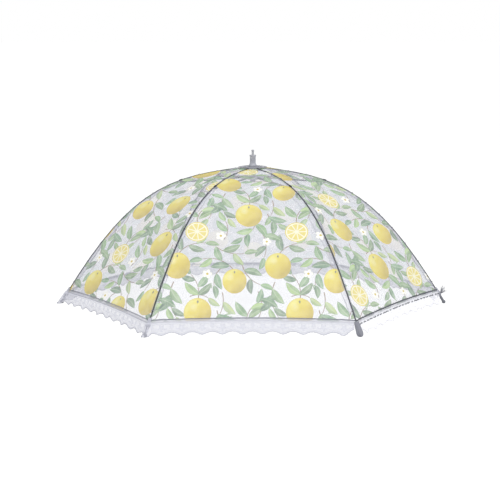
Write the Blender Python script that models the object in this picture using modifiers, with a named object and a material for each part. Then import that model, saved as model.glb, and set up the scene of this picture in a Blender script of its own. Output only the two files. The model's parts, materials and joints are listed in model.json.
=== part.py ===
"""A folding mesh food cover, built like a small umbrella with six ribs.

Lengths are metres and angles are degrees. +Z is up, the table is at z = 0, the axis of the cover is
the Z axis, and rib 1 points along +X. A rib's plane is drawn as (radius, height), with the radius
measured from the axis and the height from the table. The pieces of one rib are made once in the
plane of rib 1, and each copy hangs from an empty that stands on its own joint's axis.
"""

import math

import bmesh
import bpy
from mathutils import Matrix, Vector

# The dome
RIB_COUNT = 6
RIM_RADIUS = 0.305  # axis to a corner of the hem
CROWN_RISE = 0.2053  # rib hinge above the corner of the hem
HINGE_RADIUS = 0.012  # axis to a rib's hinge
RIB_START_ANGLE = 4.0  # a rib's fall at the crown, below horizontal
RIB_END_ANGLE = 58.0  # its fall at the rim
RIB_FULLNESS_SHARE = 0.79  # how far each end of the rib keeps its own direction

# The ribs, wires with a flattened eye at the crown
RIB_WIRE_RADIUS = 0.0011
RIB_TAIL = 0.010  # the straight end inside the tip
RIB_POINTS = 14
EYE_RADIUS = 0.0019
EYE_THICKNESS = 0.0012
EYE_HOLE_RADIUS = 0.00085

# The ring wire that the six eyes turn on
RING_WIRE_RADIUS = 0.00055
GROOVE_CLEARANCE = 0.0003

# Running and touching clearances
GAP = 0.0003
SLOT_CLEARANCE = 0.0003
BORE_CLEARANCE = 0.0004

# The crown hub
HUB_WALL = 0.0035  # hinges to the hub's rim
HUB_TOP_RISE = 0.0026  # above the hinges
HUB_BOTTOM_DROP = 0.0040  # below them
HUB_EDGE = 0.0008
HUB_NECK_RADIUS = 0.0052
HUB_NECK_DROP = 0.0082  # end of the neck below the hinges
COLLAR_SOCKET_DEPTH = 0.0040

# The collar on top
COLLAR_HEIGHT = 0.0177
COLLAR_RADIUS = 0.0048
COLLAR_LIP_RADIUS = 0.0055
COLLAR_LIP_HEIGHT = 0.0023
COLLAR_FLARE_RADIUS = 0.0076
COLLAR_FLARE_HEIGHT = 0.0062
COLLAR_FOOT_HEIGHT = 0.0008
COLLAR_NECK_RADIUS = 0.0041

# The plunger tube and its knob
PLUNGER_RADIUS = 0.0019
PLUNGER_BORE_RADIUS = 0.0012
PLUNGER_STAND = 0.0052  # tube above the collar
KNOB_RADIUS = 0.0023
KNOB_HEIGHT = 0.0028
KNOB_STEM_RADIUS = 0.0009
KNOB_STEM_LENGTH = 0.0040
KNOB_EDGE = 0.0006

# The runner and its six seats
RUNNER_DROP = 0.015  # stretcher seats below the rib hinges
SEAT_OVERHANG = 0.004  # and outside them
RUNNER_RIM = 0.0029  # material outside a seat's middle
RUNNER_TOP = 0.0024  # disc above the seats' middles
RUNNER_BOTTOM = 0.0022  # disc below them
RUNNER_EDGE = 0.0006
SLEEVE_RADIUS = 0.0044
SLEEVE_TOP = 0.0046  # sleeve above the seats' middles
SLEEVE_BOTTOM = 0.0070  # and below them
SEAT_FLARE_ANGLE = 37.0  # inner wall of a seat, from vertical
SLOT_INSET = 0.0056  # inner end of a blade's slot, inside the seat's middle

# The stretchers, flat strips with a cross pin at the inner end
JOINT_RADIUS = 0.117  # where the clip sits on its rib
JOINT_OFFSET = 0.0029  # rivet below the rib's middle
STRETCHER_THICKNESS = 0.0018
STRETCHER_DEPTH = 0.0023
STRETCHER_END_RADIUS = 0.0014
CROSS_PIN_RADIUS = 0.0008
CROSS_PIN_LENGTH = 0.0050

# The clips and their rivets
CLIP_WALL = 0.0004
CLIP_CLEARANCE = 0.0002
CLIP_LENGTH = 0.0052
CLIP_EAR = 0.0017  # ear below the rivet's middle
RIVET_RADIUS = 0.0006
RIVET_HEAD_RADIUS = 0.0011
RIVET_HEAD_HEIGHT = 0.0005
RIVET_HEAD_EDGE = 0.0004

# The rib tips
TIP_LENGTH = 0.0178  # rim to the middle of the ball
TIP_BALL_RADIUS = 0.0032
TIP_MOUTH_RADIUS = 0.0026
TIP_WAIST_RADIUS = 0.0022
TIP_FOOT_DEPTH = 0.0008  # height cut off the ball to stand on

# The cloth
CLOTH_THICKNESS = 0.0008
CLOTH_LIFT = 0.0021  # underside of the cloth above a rib's middle
CLOTH_SEAM_GAP = 0.0008
CLOTH_MIDDLE_GAP = 0.0003
HEM_RISE = 0.003  # hem between two ribs above its corners
CAP_OVERLAP = 0.008  # cap outside the hub
CAP_DROP = 0.0007  # edge of the cap below its middle
LACE_DEPTH = 0.0178
SCALLOP_DEPTH = 0.0040
SCALLOP_PITCH = 0.0300
LACE_FALL_ANGLE = 66.0
SCALLOP_STEPS = 4
LEAST_SCALLOPS = 2
GORE_ROWS = 18
GORE_COLUMNS = 2

# How finely round pieces are turned, and how many steps an arc has
TURNED_STEPS = 24
PLUNGER_STEPS = 16
TIP_STEPS = 10
SMALL_STEPS = 10
FLARE_STEPS = 5
SEAT_STEPS = 6
BALL_STEPS = 6
STRAP_STEPS = 8
STRETCHER_END_STEPS = 8
RING_POINTS_PER_RIB = 4
WIRE_RESOLUTION = 2
WELD_DISTANCE = 0.00001
SHARP_ANGLE = 35.0  # edges that turn further than this stay sharp
OVERRUN = 0.002  # how far a cut runs past what it cuts
HALVINGS = 40  # steps of the search along a rib

# Colours
STEEL = (0.33, 0.34, 0.36)
DARK_STEEL = (0.12, 0.125, 0.13)
GREY_PLASTIC = (0.55, 0.56, 0.57)
CLOTH_WHITE = (0.80, 0.78, 0.82)
LACE_WHITE = (0.90, 0.88, 0.92)

# Heights and places that follow from the sizes above. The cover stands on the feet of its tips.
TIP_DROP = TIP_LENGTH * math.sin(math.radians(RIB_END_ANGLE))
RIM_HEIGHT = TIP_DROP + TIP_BALL_RADIUS - TIP_FOOT_DEPTH
HINGE_HEIGHT = RIM_HEIGHT + CROWN_RISE
HUB_RADIUS = HINGE_RADIUS + HUB_WALL
SEAT_RADIUS = HINGE_RADIUS + SEAT_OVERHANG
CAP_RADIUS = HUB_RADIUS + CAP_OVERLAP
SEAT_HEIGHT = HINGE_HEIGHT - RUNNER_DROP
HUB_TOP = HINGE_HEIGHT + HUB_TOP_RISE
CAP_UNDER = HUB_TOP + GAP
COLLAR_FOOT = CAP_UNDER + CLOTH_THICKNESS + GAP
COLLAR_TOP = COLLAR_FOOT + COLLAR_HEIGHT
PLUNGER_TOP = COLLAR_TOP + PLUNGER_STAND
BORE_RADIUS = KNOB_RADIUS + BORE_CLEARANCE
SECTOR = 360.0 / RIB_COUNT
GORE_START_RADIUS = (HUB_RADIUS + GAP) / math.cos(math.radians(SECTOR / 2))


def direction(fall):
    """The way outward that falls this many degrees below horizontal, in a rib's plane."""
    return Vector((math.cos(math.radians(fall)), -math.sin(math.radians(fall))))


def crossing(start, start_fall, end, end_fall):
    """Where the two straight lines through a rib's ends meet."""
    first, last = direction(start_fall), direction(end_fall)
    span = end - start
    along = (span.x * last.y - span.y * last.x) / (first.x * last.y - first.y * last.x)
    return start + first * along


def rib_handles():
    """The four control points of a rib's curve."""
    start = Vector((HINGE_RADIUS, HINGE_HEIGHT))
    end = Vector((RIM_RADIUS, RIM_HEIGHT))
    meet = crossing(start, RIB_START_ANGLE, end, RIB_END_ANGLE)
    return start, start.lerp(meet, RIB_FULLNESS_SHARE), end.lerp(meet, RIB_FULLNESS_SHARE), end


def rib_point(share):
    """A point of a rib's middle line, from its hinge at 0 to the rim at 1."""
    a, b, c, d = rib_handles()
    rest = 1 - share
    return a * rest**3 + b * (3 * rest**2 * share) + c * (3 * rest * share**2) + d * share**3


def rib_direction(share):
    """The rib's direction there, pointing to the rim."""
    a, b, c, d = rib_handles()
    rest = 1 - share
    return ((b - a) * rest**2 + (c - b) * (2 * rest * share) + (d - c) * share**2).normalized()


def above(way):
    """The direction square to this one that points out of the dome."""
    return Vector((-way.y, way.x))


def share_at_radius(radius):
    """Where on the rib's curve this radius is reached, by halving."""
    low, high = 0.0, 1.0
    for _ in range(HALVINGS):
        middle = (low + high) / 2
        if rib_point(middle).x < radius:
            low = middle
        else:
            high = middle
    return (low + high) / 2


def joint_point():
    """The rivet's middle, where a stretcher turns on its rib's clip."""
    share = share_at_radius(JOINT_RADIUS)
    return rib_point(share) - above(rib_direction(share)) * JOINT_OFFSET


def seat_point():
    """The middle of a runner's seat, where the stretcher's cross pin lies."""
    return Vector((SEAT_RADIUS, SEAT_HEIGHT))


def arc(middle, radius, first, last, steps):
    """Points on an arc, by angles measured from the outward direction towards up."""
    turns = [math.radians(first + (last - first) * n / steps) for n in range(steps + 1)]
    return [middle + Vector((math.cos(t), math.sin(t))) * radius for t in turns]


def new_collection(name):
    collection = bpy.data.collections.new(name)
    bpy.context.scene.collection.children.link(collection)
    return collection


def new_material(name, colour, roughness, metallic=0.0):
    material = bpy.data.materials.new(name)
    material.use_nodes = True
    surface = material.node_tree.nodes["Principled BSDF"]
    surface.inputs["Base Color"].default_value = (*colour, 1.0)
    surface.inputs["Roughness"].default_value = roughness
    surface.inputs["Metallic"].default_value = metallic
    return material


def finished_mesh(thing):
    """The mesh that a helper object's curve and modifiers make, welded. The helper is removed."""
    bpy.context.view_layer.update()
    graph = bpy.context.evaluated_depsgraph_get()
    mesh = bpy.data.meshes.new_from_object(thing.evaluated_get(graph))
    mesh.transform(thing.matrix_world)
    shape = bmesh.new()
    shape.from_mesh(mesh)
    bmesh.ops.remove_doubles(shape, verts=shape.verts, dist=WELD_DISTANCE)
    bmesh.ops.recalc_face_normals(shape, faces=shape.faces)
    shape.to_mesh(mesh)
    shape.free()
    bpy.data.objects.remove(thing)
    return mesh


def helper(name, data):
    thing = bpy.data.objects.new(name, data)
    helpers.objects.link(thing)
    return thing


def wire(points, radius, closed=False):
    """A round wire through (radius, height) points, or through points in space."""
    curve = bpy.data.curves.new("wire", "CURVE")
    curve.dimensions = "3D"
    curve.bevel_depth = radius
    curve.bevel_resolution = WIRE_RESOLUTION
    curve.use_fill_caps = not closed
    spline = curve.splines.new("POLY")
    spline.points.add(len(points) - 1)
    for point, place in zip(spline.points, points):
        full = place if len(place) == 3 else (place[0], 0.0, place[1])
        point.co = (*full, 1.0)
    spline.use_cyclic_u = closed
    return finished_mesh(helper("wire", curve))


def plate(outlines, thickness):
    """A flat piece in the plane of a rib, from its (radius, height) outline and its holes."""
    curve = bpy.data.curves.new("plate", "CURVE")
    curve.dimensions = "2D"
    curve.fill_mode = "BOTH"
    curve.extrude = thickness / 2
    for outline in outlines:
        spline = curve.splines.new("POLY")
        spline.points.add(len(outline) - 1)
        for point, place in zip(spline.points, outline):
            point.co = (place[0], place[1], 0.0, 1.0)
        spline.use_cyclic_u = True
    thing = helper("plate", curve)
    thing.rotation_euler.x = math.radians(90)
    return finished_mesh(thing)


def turned_helper(name, profile, steps, closed):
    """A helper with a profile and a Screw. The profile runs down its outer side."""
    shape = bmesh.new()
    corners = [shape.verts.new((place[0], 0.0, place[1])) for place in profile]
    for one, other in zip(corners, corners[1:]):
        shape.edges.new((one, other))
    if closed:
        shape.edges.new((corners[-1], corners[0]))
    mesh = bpy.data.meshes.new(name)
    shape.to_mesh(mesh)
    shape.free()
    thing = helper(name, mesh)
    screw = thing.modifiers.new("turn", "SCREW")
    screw.steps = steps
    screw.render_steps = steps
    screw.use_merge_vertices = True
    screw.merge_threshold = WELD_DISTANCE
    return thing


def turned(profile, steps, closed=True):
    return finished_mesh(turned_helper("turned", profile, steps, closed))


def combined(mesh, other, operation):
    """Two meshes joined or cut by a Boolean."""
    target, tool = helper("target", mesh), helper("tool", other)
    change = target.modifiers.new("change", "BOOLEAN")
    change.object = tool
    change.operation = operation
    result = finished_mesh(target)
    bpy.data.objects.remove(tool)
    return result


def moved(mesh, matrix):
    mesh.transform(matrix)
    return mesh


def copies_round(mesh):
    """The mesh once for each rib, turned about the axis."""
    shape = bmesh.new()
    shape.from_mesh(mesh)
    bmesh.ops.spin(
        shape,
        geom=shape.verts[:] + shape.edges[:] + shape.faces[:],
        cent=(0, 0, 0),
        axis=(0, 0, 1),
        angle=math.radians(360.0 - SECTOR),
        steps=RIB_COUNT - 1,
        use_duplicate=True,
    )
    shape.to_mesh(mesh)
    shape.free()
    return mesh


def new_cutter(name, mesh):
    cutter = bpy.data.objects.new(name, mesh)
    cutters.objects.link(cutter)
    cutter.hide_render = True
    cutter.display_type = "WIRE"
    return cutter


def cut_by(thing, cutter):
    cut = thing.modifiers.new(cutter.name, "BOOLEAN")
    cut.object = cutter
    cut.operation = "DIFFERENCE"


def new_empty(name, place, azimuth=0.0):
    empty = bpy.data.objects.new(name, None)
    empty.empty_display_size = HUB_RADIUS
    empty.location = place
    empty.rotation_euler.z = math.radians(azimuth)
    parts.objects.link(empty)
    return empty


def add_part(name, mesh, material, parent=None):
    """A named piece, smooth where it is round, hung from its joint's empty."""
    part = bpy.data.objects.new(name, mesh)
    if not mesh.materials:
        mesh.materials.append(material)
    mesh.shade_smooth()
    mesh.set_sharp_from_angle(angle=math.radians(SHARP_ANGLE))
    parts.objects.link(part)
    part.parent = parent
    return part


def box_along_radius(inner, outer, low, high, width):
    """A block in the plane of rib 1, from one radius to another."""
    outline = [(inner, low), (outer, low), (outer, high), (inner, high)]
    return plate([outline], width)


def make_hub():
    """The crown hub: a disc with a groove for the ring wire, six slots and a bored neck."""
    groove = RING_WIRE_RADIUS + GROOVE_CLEARANCE
    groove_floor = HINGE_HEIGHT - groove
    top, bottom = HUB_TOP, HINGE_HEIGHT - HUB_BOTTOM_DROP
    neck_end = HINGE_HEIGHT - HUB_NECK_DROP
    socket = COLLAR_NECK_RADIUS + GAP
    socket_floor = top - COLLAR_SOCKET_DEPTH
    profile = [
        (HINGE_RADIUS + groove, top),
        (HUB_RADIUS - HUB_EDGE, top),
        (HUB_RADIUS, top - HUB_EDGE),
        (HUB_RADIUS, bottom + HUB_EDGE),
        (HUB_RADIUS - HUB_EDGE, bottom),
        (HUB_NECK_RADIUS, bottom),
        (HUB_NECK_RADIUS, neck_end + HUB_EDGE),
        (HUB_NECK_RADIUS - HUB_EDGE, neck_end),
        (BORE_RADIUS, neck_end),
        (BORE_RADIUS, socket_floor),
        (socket, socket_floor),
        (socket, top),
        (HINGE_RADIUS - groove, top),
        (HINGE_RADIUS - groove, groove_floor),
        (HINGE_RADIUS + groove, groove_floor),
    ]
    hub = add_part("crown_hub", turned(profile, TURNED_STEPS), plastic)
    inner = HINGE_RADIUS - EYE_RADIUS - SLOT_CLEARANCE
    width = 2 * (RIB_WIRE_RADIUS + SLOT_CLEARANCE)
    slot = box_along_radius(inner, HUB_RADIUS + OVERRUN, bottom - OVERRUN, top + OVERRUN, width)
    cut_by(hub, new_cutter("hub_slots", copies_round(slot)))


def make_ring_wire():
    """The ring wire in the hub's groove. A straight run of it goes through each rib's eye."""
    count = RING_POINTS_PER_RIB * RIB_COUNT
    turns = [math.pi * (2 * n + 1) / count for n in range(count)]
    ring = [(HINGE_RADIUS * math.cos(t), HINGE_RADIUS * math.sin(t), HINGE_HEIGHT) for t in turns]
    add_part("crown_ring_wire", wire(ring, RING_WIRE_RADIUS, closed=True), steel)


def make_collar():
    """The grey collar: a lip, a plain barrel, a hollow flare and a neck that goes into the hub."""
    foot = COLLAR_FOOT + COLLAR_FOOT_HEIGHT
    width = COLLAR_FLARE_RADIUS - COLLAR_RADIUS
    quarter = [math.radians(90.0 * n / FLARE_STEPS) for n in range(FLARE_STEPS + 1)]
    flare = [
        (COLLAR_RADIUS + width * (1 - math.cos(t)), foot + COLLAR_FLARE_HEIGHT * (1 - math.sin(t)))
        for t in quarter
    ]
    lip = COLLAR_TOP - COLLAR_LIP_HEIGHT
    edge = (COLLAR_LIP_RADIUS - COLLAR_RADIUS) / 2
    neck_end = HUB_TOP - COLLAR_SOCKET_DEPTH + GAP
    profile = [
        (COLLAR_LIP_RADIUS - edge, COLLAR_TOP),
        (COLLAR_LIP_RADIUS, COLLAR_TOP - edge),
        (COLLAR_LIP_RADIUS, lip + edge),
        (COLLAR_RADIUS, lip - edge),
        *flare,
        (COLLAR_FLARE_RADIUS, COLLAR_FOOT),
        (COLLAR_NECK_RADIUS, COLLAR_FOOT),
        (COLLAR_NECK_RADIUS, neck_end),
        (BORE_RADIUS, neck_end),
        (BORE_RADIUS, COLLAR_TOP),
    ]
    add_part("ferrule_collar", turned(profile, TURNED_STEPS), plastic)


def make_cloth_cap():
    """The round patch of cloth between the collar and the hub."""
    hole = COLLAR_NECK_RADIUS + GAP
    under = [
        (CAP_RADIUS, CAP_UNDER - CAP_DROP),
        (HUB_RADIUS, CAP_UNDER),
        (hole, CAP_UNDER),
    ]
    over = [(radius, height + CLOTH_THICKNESS) for radius, height in reversed(under)]
    add_part("top_cloth_cap", turned(over + under, TURNED_STEPS), cloth)


def seat_outline():
    """A seat: round at the top, open below, with its inner wall flared for the pin's way out."""
    middle = seat_point()
    radius = CROSS_PIN_RADIUS + SLOT_CLEARANCE
    below = middle.y - RUNNER_BOTTOM - OVERRUN
    points = arc(middle, radius, 0.0, 180.0 - SEAT_FLARE_ANGLE, SEAT_STEPS)
    drop = points[-1].y - below
    inner = points[-1].x - drop * math.tan(math.radians(SEAT_FLARE_ANGLE))
    return [*points, (inner, below), (middle.x + radius, below)]


def make_runner(slide):
    """The runner: a disc on a sleeve, with a seat and a slot for each stretcher."""
    middle = seat_point()
    rim = SEAT_RADIUS + RUNNER_RIM
    top, bottom = middle.y + RUNNER_TOP, middle.y - RUNNER_BOTTOM
    bore = PLUNGER_RADIUS + GAP
    profile = [
        (SLEEVE_RADIUS, middle.y + SLEEVE_TOP),
        (SLEEVE_RADIUS, top),
        (rim - RUNNER_EDGE, top),
        (rim, top - RUNNER_EDGE),
        (rim, bottom + RUNNER_EDGE),
        (rim - RUNNER_EDGE, bottom),
        (SLEEVE_RADIUS, bottom),
        (SLEEVE_RADIUS, middle.y - SLEEVE_BOTTOM),
        (bore, middle.y - SLEEVE_BOTTOM),
        (bore, middle.y + SLEEVE_TOP),
    ]
    to_slide = Matrix.Translation((0, 0, -SEAT_HEIGHT))
    runner = add_part("runner", moved(turned(profile, TURNED_STEPS), to_slide), plastic, slide)
    seat = plate([seat_outline()], CROSS_PIN_LENGTH + 2 * BORE_CLEARANCE)
    seats = new_cutter("runner_seats", copies_round(seat))
    width = STRETCHER_THICKNESS + 2 * BORE_CLEARANCE
    slot = box_along_radius(
        SEAT_RADIUS - SLOT_INSET, rim + OVERRUN, bottom - OVERRUN, top + OVERRUN, width
    )
    slots = new_cutter("runner_slots", copies_round(slot))
    cut_by(runner, seats)
    cut_by(runner, slots)


def make_plunger(slide):
    """The tube that stands in the runner and comes out of the collar, and its knob."""
    low = SEAT_HEIGHT - SLEEVE_BOTTOM
    tube = [
        (PLUNGER_RADIUS, PLUNGER_TOP),
        (PLUNGER_RADIUS, low),
        (PLUNGER_BORE_RADIUS, low),
        (PLUNGER_BORE_RADIUS, PLUNGER_TOP),
    ]
    under = PLUNGER_TOP + GAP
    knob = [
        (0.0, under + KNOB_HEIGHT),
        (KNOB_RADIUS - KNOB_EDGE, under + KNOB_HEIGHT),
        (KNOB_RADIUS, under + KNOB_HEIGHT - KNOB_EDGE),
        (KNOB_RADIUS, under + KNOB_EDGE),
        (KNOB_RADIUS - KNOB_EDGE, under),
        (KNOB_STEM_RADIUS, under),
        (KNOB_STEM_RADIUS, under - KNOB_STEM_LENGTH),
        (0.0, under - KNOB_STEM_LENGTH),
    ]
    to_slide = Matrix.Translation((0, 0, -SEAT_HEIGHT))
    add_part("plunger_tube", moved(turned(tube, PLUNGER_STEPS), to_slide), steel, slide)
    add_part("plunger_knob", moved(turned(knob, PLUNGER_STEPS, False), to_slide), plastic, slide)


def rib_mesh():
    """A rib: a bent wire with a flat bored eye at the crown."""
    first = share_at_radius(HINGE_RADIUS + (EYE_RADIUS + EYE_HOLE_RADIUS) / 2)
    shares = [first + (1 - first) * n / RIB_POINTS for n in range(RIB_POINTS + 1)]
    line = [rib_point(share) for share in shares]
    line.append(line[-1] + direction(RIB_END_ANGLE) * RIB_TAIL)
    hinge = Vector((HINGE_RADIUS, HINGE_HEIGHT))
    eye = arc(hinge, EYE_RADIUS, 0.0, 360.0 - 360.0 / SMALL_STEPS, SMALL_STEPS - 1)
    hole = arc(hinge, EYE_HOLE_RADIUS, 0.0, 360.0 - 360.0 / SMALL_STEPS, SMALL_STEPS - 1)
    return combined(wire(line, RIB_WIRE_RADIUS), plate([eye, hole], EYE_THICKNESS), "UNION")


def tip_mesh():
    """The moulded tip: a socket for the rib's end, a waist and a ball cut flat to stand on."""
    bore = RIB_WIRE_RADIUS + GAP
    mouth, bore_end = GAP, RIB_TAIL + GAP
    ball = TIP_LENGTH
    joint = math.degrees(math.asin(TIP_WAIST_RADIUS / TIP_BALL_RADIUS))
    dome = [
        (
            TIP_BALL_RADIUS * math.sin(math.radians(turn)),
            -ball + TIP_BALL_RADIUS * math.cos(math.radians(turn)),
        )
        for turn in [joint + (180.0 - joint) * n / BALL_STEPS for n in range(BALL_STEPS + 1)]
    ]
    profile = [
        (0.0, -bore_end),
        (bore, -bore_end),
        (bore, -mouth),
        (TIP_MOUTH_RADIUS, -mouth),
        (TIP_MOUTH_RADIUS, -mouth - TIP_BALL_RADIUS),
        (TIP_WAIST_RADIUS, -mouth - 2 * TIP_BALL_RADIUS),
        *dome,
    ]
    mesh = turned(profile, TIP_STEPS, False)
    tilt = Matrix.Rotation(math.radians(RIB_END_ANGLE - 90.0), 4, "Y")
    rim = Matrix.Translation((RIM_RADIUS, 0, RIM_HEIGHT))
    mesh = moved(mesh, rim @ tilt)
    ball_middle = rib_point(1.0) + direction(RIB_END_ANGLE) * TIP_LENGTH
    foot = ball_middle.y - TIP_BALL_RADIUS + TIP_FOOT_DEPTH
    reach = TIP_BALL_RADIUS + OVERRUN
    floor = box_along_radius(
        ball_middle.x - reach, ball_middle.x + reach, foot - reach, foot, 2 * reach
    )
    return combined(mesh, floor, "DIFFERENCE")


def clip_mesh():
    """The clip: a strap bent over its rib, with a rivet peened through its two ears."""
    share = share_at_radius(JOINT_RADIUS)
    way = rib_direction(share)
    inner = RIB_WIRE_RADIUS + CLIP_CLEARANCE
    outer = inner + CLIP_WALL
    low = -JOINT_OFFSET - CLIP_EAR
    middle = Vector((0.0, 0.0))
    outline = [
        (outer, low),
        *arc(middle, outer, 0.0, 180.0, STRAP_STEPS),
        (-outer, low),
        (-inner, low),
        *reversed(arc(middle, inner, 0.0, 180.0, STRAP_STEPS)),
        (inner, low),
    ]
    strap = plate([outline], CLIP_LENGTH)
    # The outline was drawn across the rib, so the strap is turned to run along it.
    strap = moved(strap, Matrix.Rotation(math.radians(90), 4, "Z"))
    # A head's inner face lies inside its ear's wall, as the peened head fills the countersunk hole.
    head, bedded = outer + RIVET_HEAD_HEIGHT, outer - CLIP_WALL / 2
    rivet = [
        (0.0, head),
        (RIVET_HEAD_RADIUS - RIVET_HEAD_EDGE, head),
        (RIVET_HEAD_RADIUS, bedded),
        (RIVET_RADIUS, bedded),
        (RIVET_RADIUS, -bedded),
        (RIVET_HEAD_RADIUS, -bedded),
        (RIVET_HEAD_RADIUS - RIVET_HEAD_EDGE, -head),
        (0.0, -head),
    ]
    pin = moved(turned(rivet, SMALL_STEPS, False), Matrix.Rotation(math.radians(90), 4, "X"))
    strap = combined(strap, moved(pin, Matrix.Translation((0, 0, -JOINT_OFFSET))), "UNION")
    tilt = Matrix.Rotation(math.atan2(-way.y, way.x), 4, "Y")
    place = rib_point(share)
    return moved(strap, Matrix.Translation((place.x, 0, place.y)) @ tilt)


def bar_across(radius, half_length):
    """A round bar along the joint's axis, through the middle."""
    profile = [(0.0, half_length), (radius, half_length), (radius, -half_length), (0.0, -half_length)]
    bar = turned(profile, SMALL_STEPS, False)
    return moved(bar, Matrix.Rotation(math.radians(90), 4, "X"))


def stretcher_mesh():
    """A stretcher: a flat strip with a bored eye at the clip and a cross pin at the runner."""
    outer, inner = joint_point(), seat_point()
    way = (inner - outer).normalized()
    turn = math.degrees(math.atan2(way.y, way.x))
    back = turn + 180.0
    lean = math.degrees(math.asin(STRETCHER_DEPTH / 2 / STRETCHER_END_RADIUS))
    outline = [
        *arc(outer, STRETCHER_END_RADIUS, turn + lean, turn + 360.0 - lean, STRETCHER_END_STEPS),
        *arc(inner, STRETCHER_END_RADIUS, back + lean, back + 360.0 - lean, STRETCHER_END_STEPS),
    ]
    hole_radius = RIVET_RADIUS + GAP
    hole = arc(outer, hole_radius, 0.0, 360.0 - 360.0 / SMALL_STEPS, SMALL_STEPS - 1)
    strip = plate([outline, hole], STRETCHER_THICKNESS)
    pin = moved(
        bar_across(CROSS_PIN_RADIUS, CROSS_PIN_LENGTH / 2),
        Matrix.Translation((inner.x, 0, inner.y)),
    )
    return combined(strip, pin, "UNION")


def hem_share():
    """How much of the rib's curve the hem gains between two ribs."""
    _, _, handle, end = rib_handles()
    return HEM_RISE / (3 * (handle.y - end.y))


def cloth_point(down, across):
    """A point of the cloth's middle surface over rib 1's half of the sector at +Y.

    down goes from the crown at 0 to the hem at 1, and across from the rib at 0 to the middle at 1.
    """
    share = down * (1 - hem_share() * math.sin(math.radians(90.0 * across)))
    lift = CLOTH_LIFT + CLOTH_THICKNESS / 2
    flat = rib_point(share) + above(rib_direction(share)) * lift
    half = math.radians(SECTOR / 2)
    width = 2 * flat.x * math.sin(half)
    run_start = CLOTH_SEAM_GAP / 2 / math.cos(half)
    run = run_start + (width / 2 - CLOTH_MIDDLE_GAP / 2 - run_start) * across
    return Vector((flat.x - run * math.sin(half), run * math.cos(half), flat.y))


def sheet(rows, columns, place):
    """A grid of faces, each corner put where place(row share, column share) says."""
    shape = bmesh.new()
    bmesh.ops.create_grid(shape, x_segments=rows, y_segments=columns, size=1.0)
    for corner in shape.verts:
        corner.co = place((corner.co.x + 1) / 2, (corner.co.y + 1) / 2)
    bmesh.ops.recalc_face_normals(shape, faces=shape.faces)
    mesh = bpy.data.meshes.new("sheet")
    shape.to_mesh(mesh)
    shape.free()
    thing = helper("sheet", mesh)
    thick = thing.modifiers.new("cloth", "SOLIDIFY")
    thick.thickness = CLOTH_THICKNESS
    thick.offset = 0.0
    return finished_mesh(thing)


def gore_mesh(side):
    """Half a sector of the canopy, on the +Y side of rib 1 for side 1 and mirrored for -1."""
    start = share_at_radius(GORE_START_RADIUS)

    def place(row, column):
        point = cloth_point(start + (1 - start) * row, column)
        return Vector((point.x, side * point.y, point.z))

    return sheet(GORE_ROWS, GORE_COLUMNS, place)


def lace_mesh(side):
    """Half a sector's lace: a strip that hangs from the hem, with teeth along its lower edge."""
    half = math.radians(SECTOR / 2)
    out = Vector((math.cos(half), math.sin(half), 0.0))
    fall = math.radians(LACE_FALL_ANGLE)
    down = out * math.cos(fall) + Vector((0, 0, -1)) * math.sin(fall)
    first, last = cloth_point(1.0, 0.0), cloth_point(1.0, 1.0)
    length = (last - first).length
    clear_of_tip = (TIP_BALL_RADIUS + 2 * GAP) / math.cos(half) / length
    scallops = max(LEAST_SCALLOPS, round(length * (1 - clear_of_tip) / SCALLOP_PITCH))
    start = CLOTH_THICKNESS / 2 + GAP

    def place(row, column):
        across = clear_of_tip + (1 - clear_of_tip) * column
        edge = cloth_point(1.0, across)
        scallop = math.sin(math.pi * scallops * column) ** 2
        depth = LACE_DEPTH - SCALLOP_DEPTH * (1 - scallop)
        point = edge + down * (start + (depth - start) * row)
        return Vector((point.x, side * point.y, point.z))

    return sheet(1, scallops * SCALLOP_STEPS, place)


def make_rib_sets():
    """The six ribs with their tips, clips and stretchers, each on its own hinge."""
    hinge = Vector((HINGE_RADIUS, 0, HINGE_HEIGHT))
    joint = Vector((joint_point().x, 0, joint_point().y))
    to_hinge, to_joint = Matrix.Translation(-hinge), Matrix.Translation(-joint)
    rib, tip, clip = (moved(mesh, to_hinge) for mesh in (rib_mesh(), tip_mesh(), clip_mesh()))
    stretcher = moved(stretcher_mesh(), to_joint)
    for number in range(1, RIB_COUNT + 1):
        azimuth = (number - 1) * SECTOR
        turn = Matrix.Rotation(math.radians(azimuth), 4, "Z")
        rib_hinge = new_empty(f"rib_{number}_hinge", turn @ hinge, azimuth)
        rivet = new_empty(f"stretcher_{number}_pivot", turn @ joint, azimuth)
        add_part(f"rib_{number}", rib, dark_steel, rib_hinge)
        add_part(f"rib_tip_{number}", tip, plastic, rib_hinge)
        add_part(f"rib_clip_{number}", clip, steel, rib_hinge)
        add_part(f"stretcher_{number}", stretcher, dark_steel, rivet)


def make_canopy():
    """The canopy in half sectors, each hung from the rib that carries it, and its lace.

    Sector 1 lies between ribs 1 and 2. Its left half, seen from outside, is on rib 1.
    """
    hinge = Vector((HINGE_RADIUS, 0, HINGE_HEIGHT))
    fold = Vector((HINGE_RADIUS, HINGE_RADIUS * math.tan(math.radians(SECTOR / 4)), HINGE_HEIGHT))
    for side, word in ((1, "left"), (-1, "right")):
        pivot = Vector((fold.x, side * fold.y, fold.z))
        to_pivot = Matrix.Translation(-pivot)
        gore, lace = (moved(mesh, to_pivot) for mesh in (gore_mesh(side), lace_mesh(side)))
        for number in range(1, RIB_COUNT + 1):
            rib_number = number if side == 1 else number % RIB_COUNT + 1
            azimuth = (rib_number - 1) * SECTOR
            turn = Matrix.Rotation(math.radians(azimuth), 4, "Z")
            crease = new_empty(f"gore_{number}_{word}_fold", turn @ pivot, azimuth)
            add_part(f"gore_{number}_{word}", gore, cloth, crease)
            add_part(f"lace_{number}_{word}", lace, white_lace, crease)


for old in list(bpy.data.objects):
    bpy.data.objects.remove(old)

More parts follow.
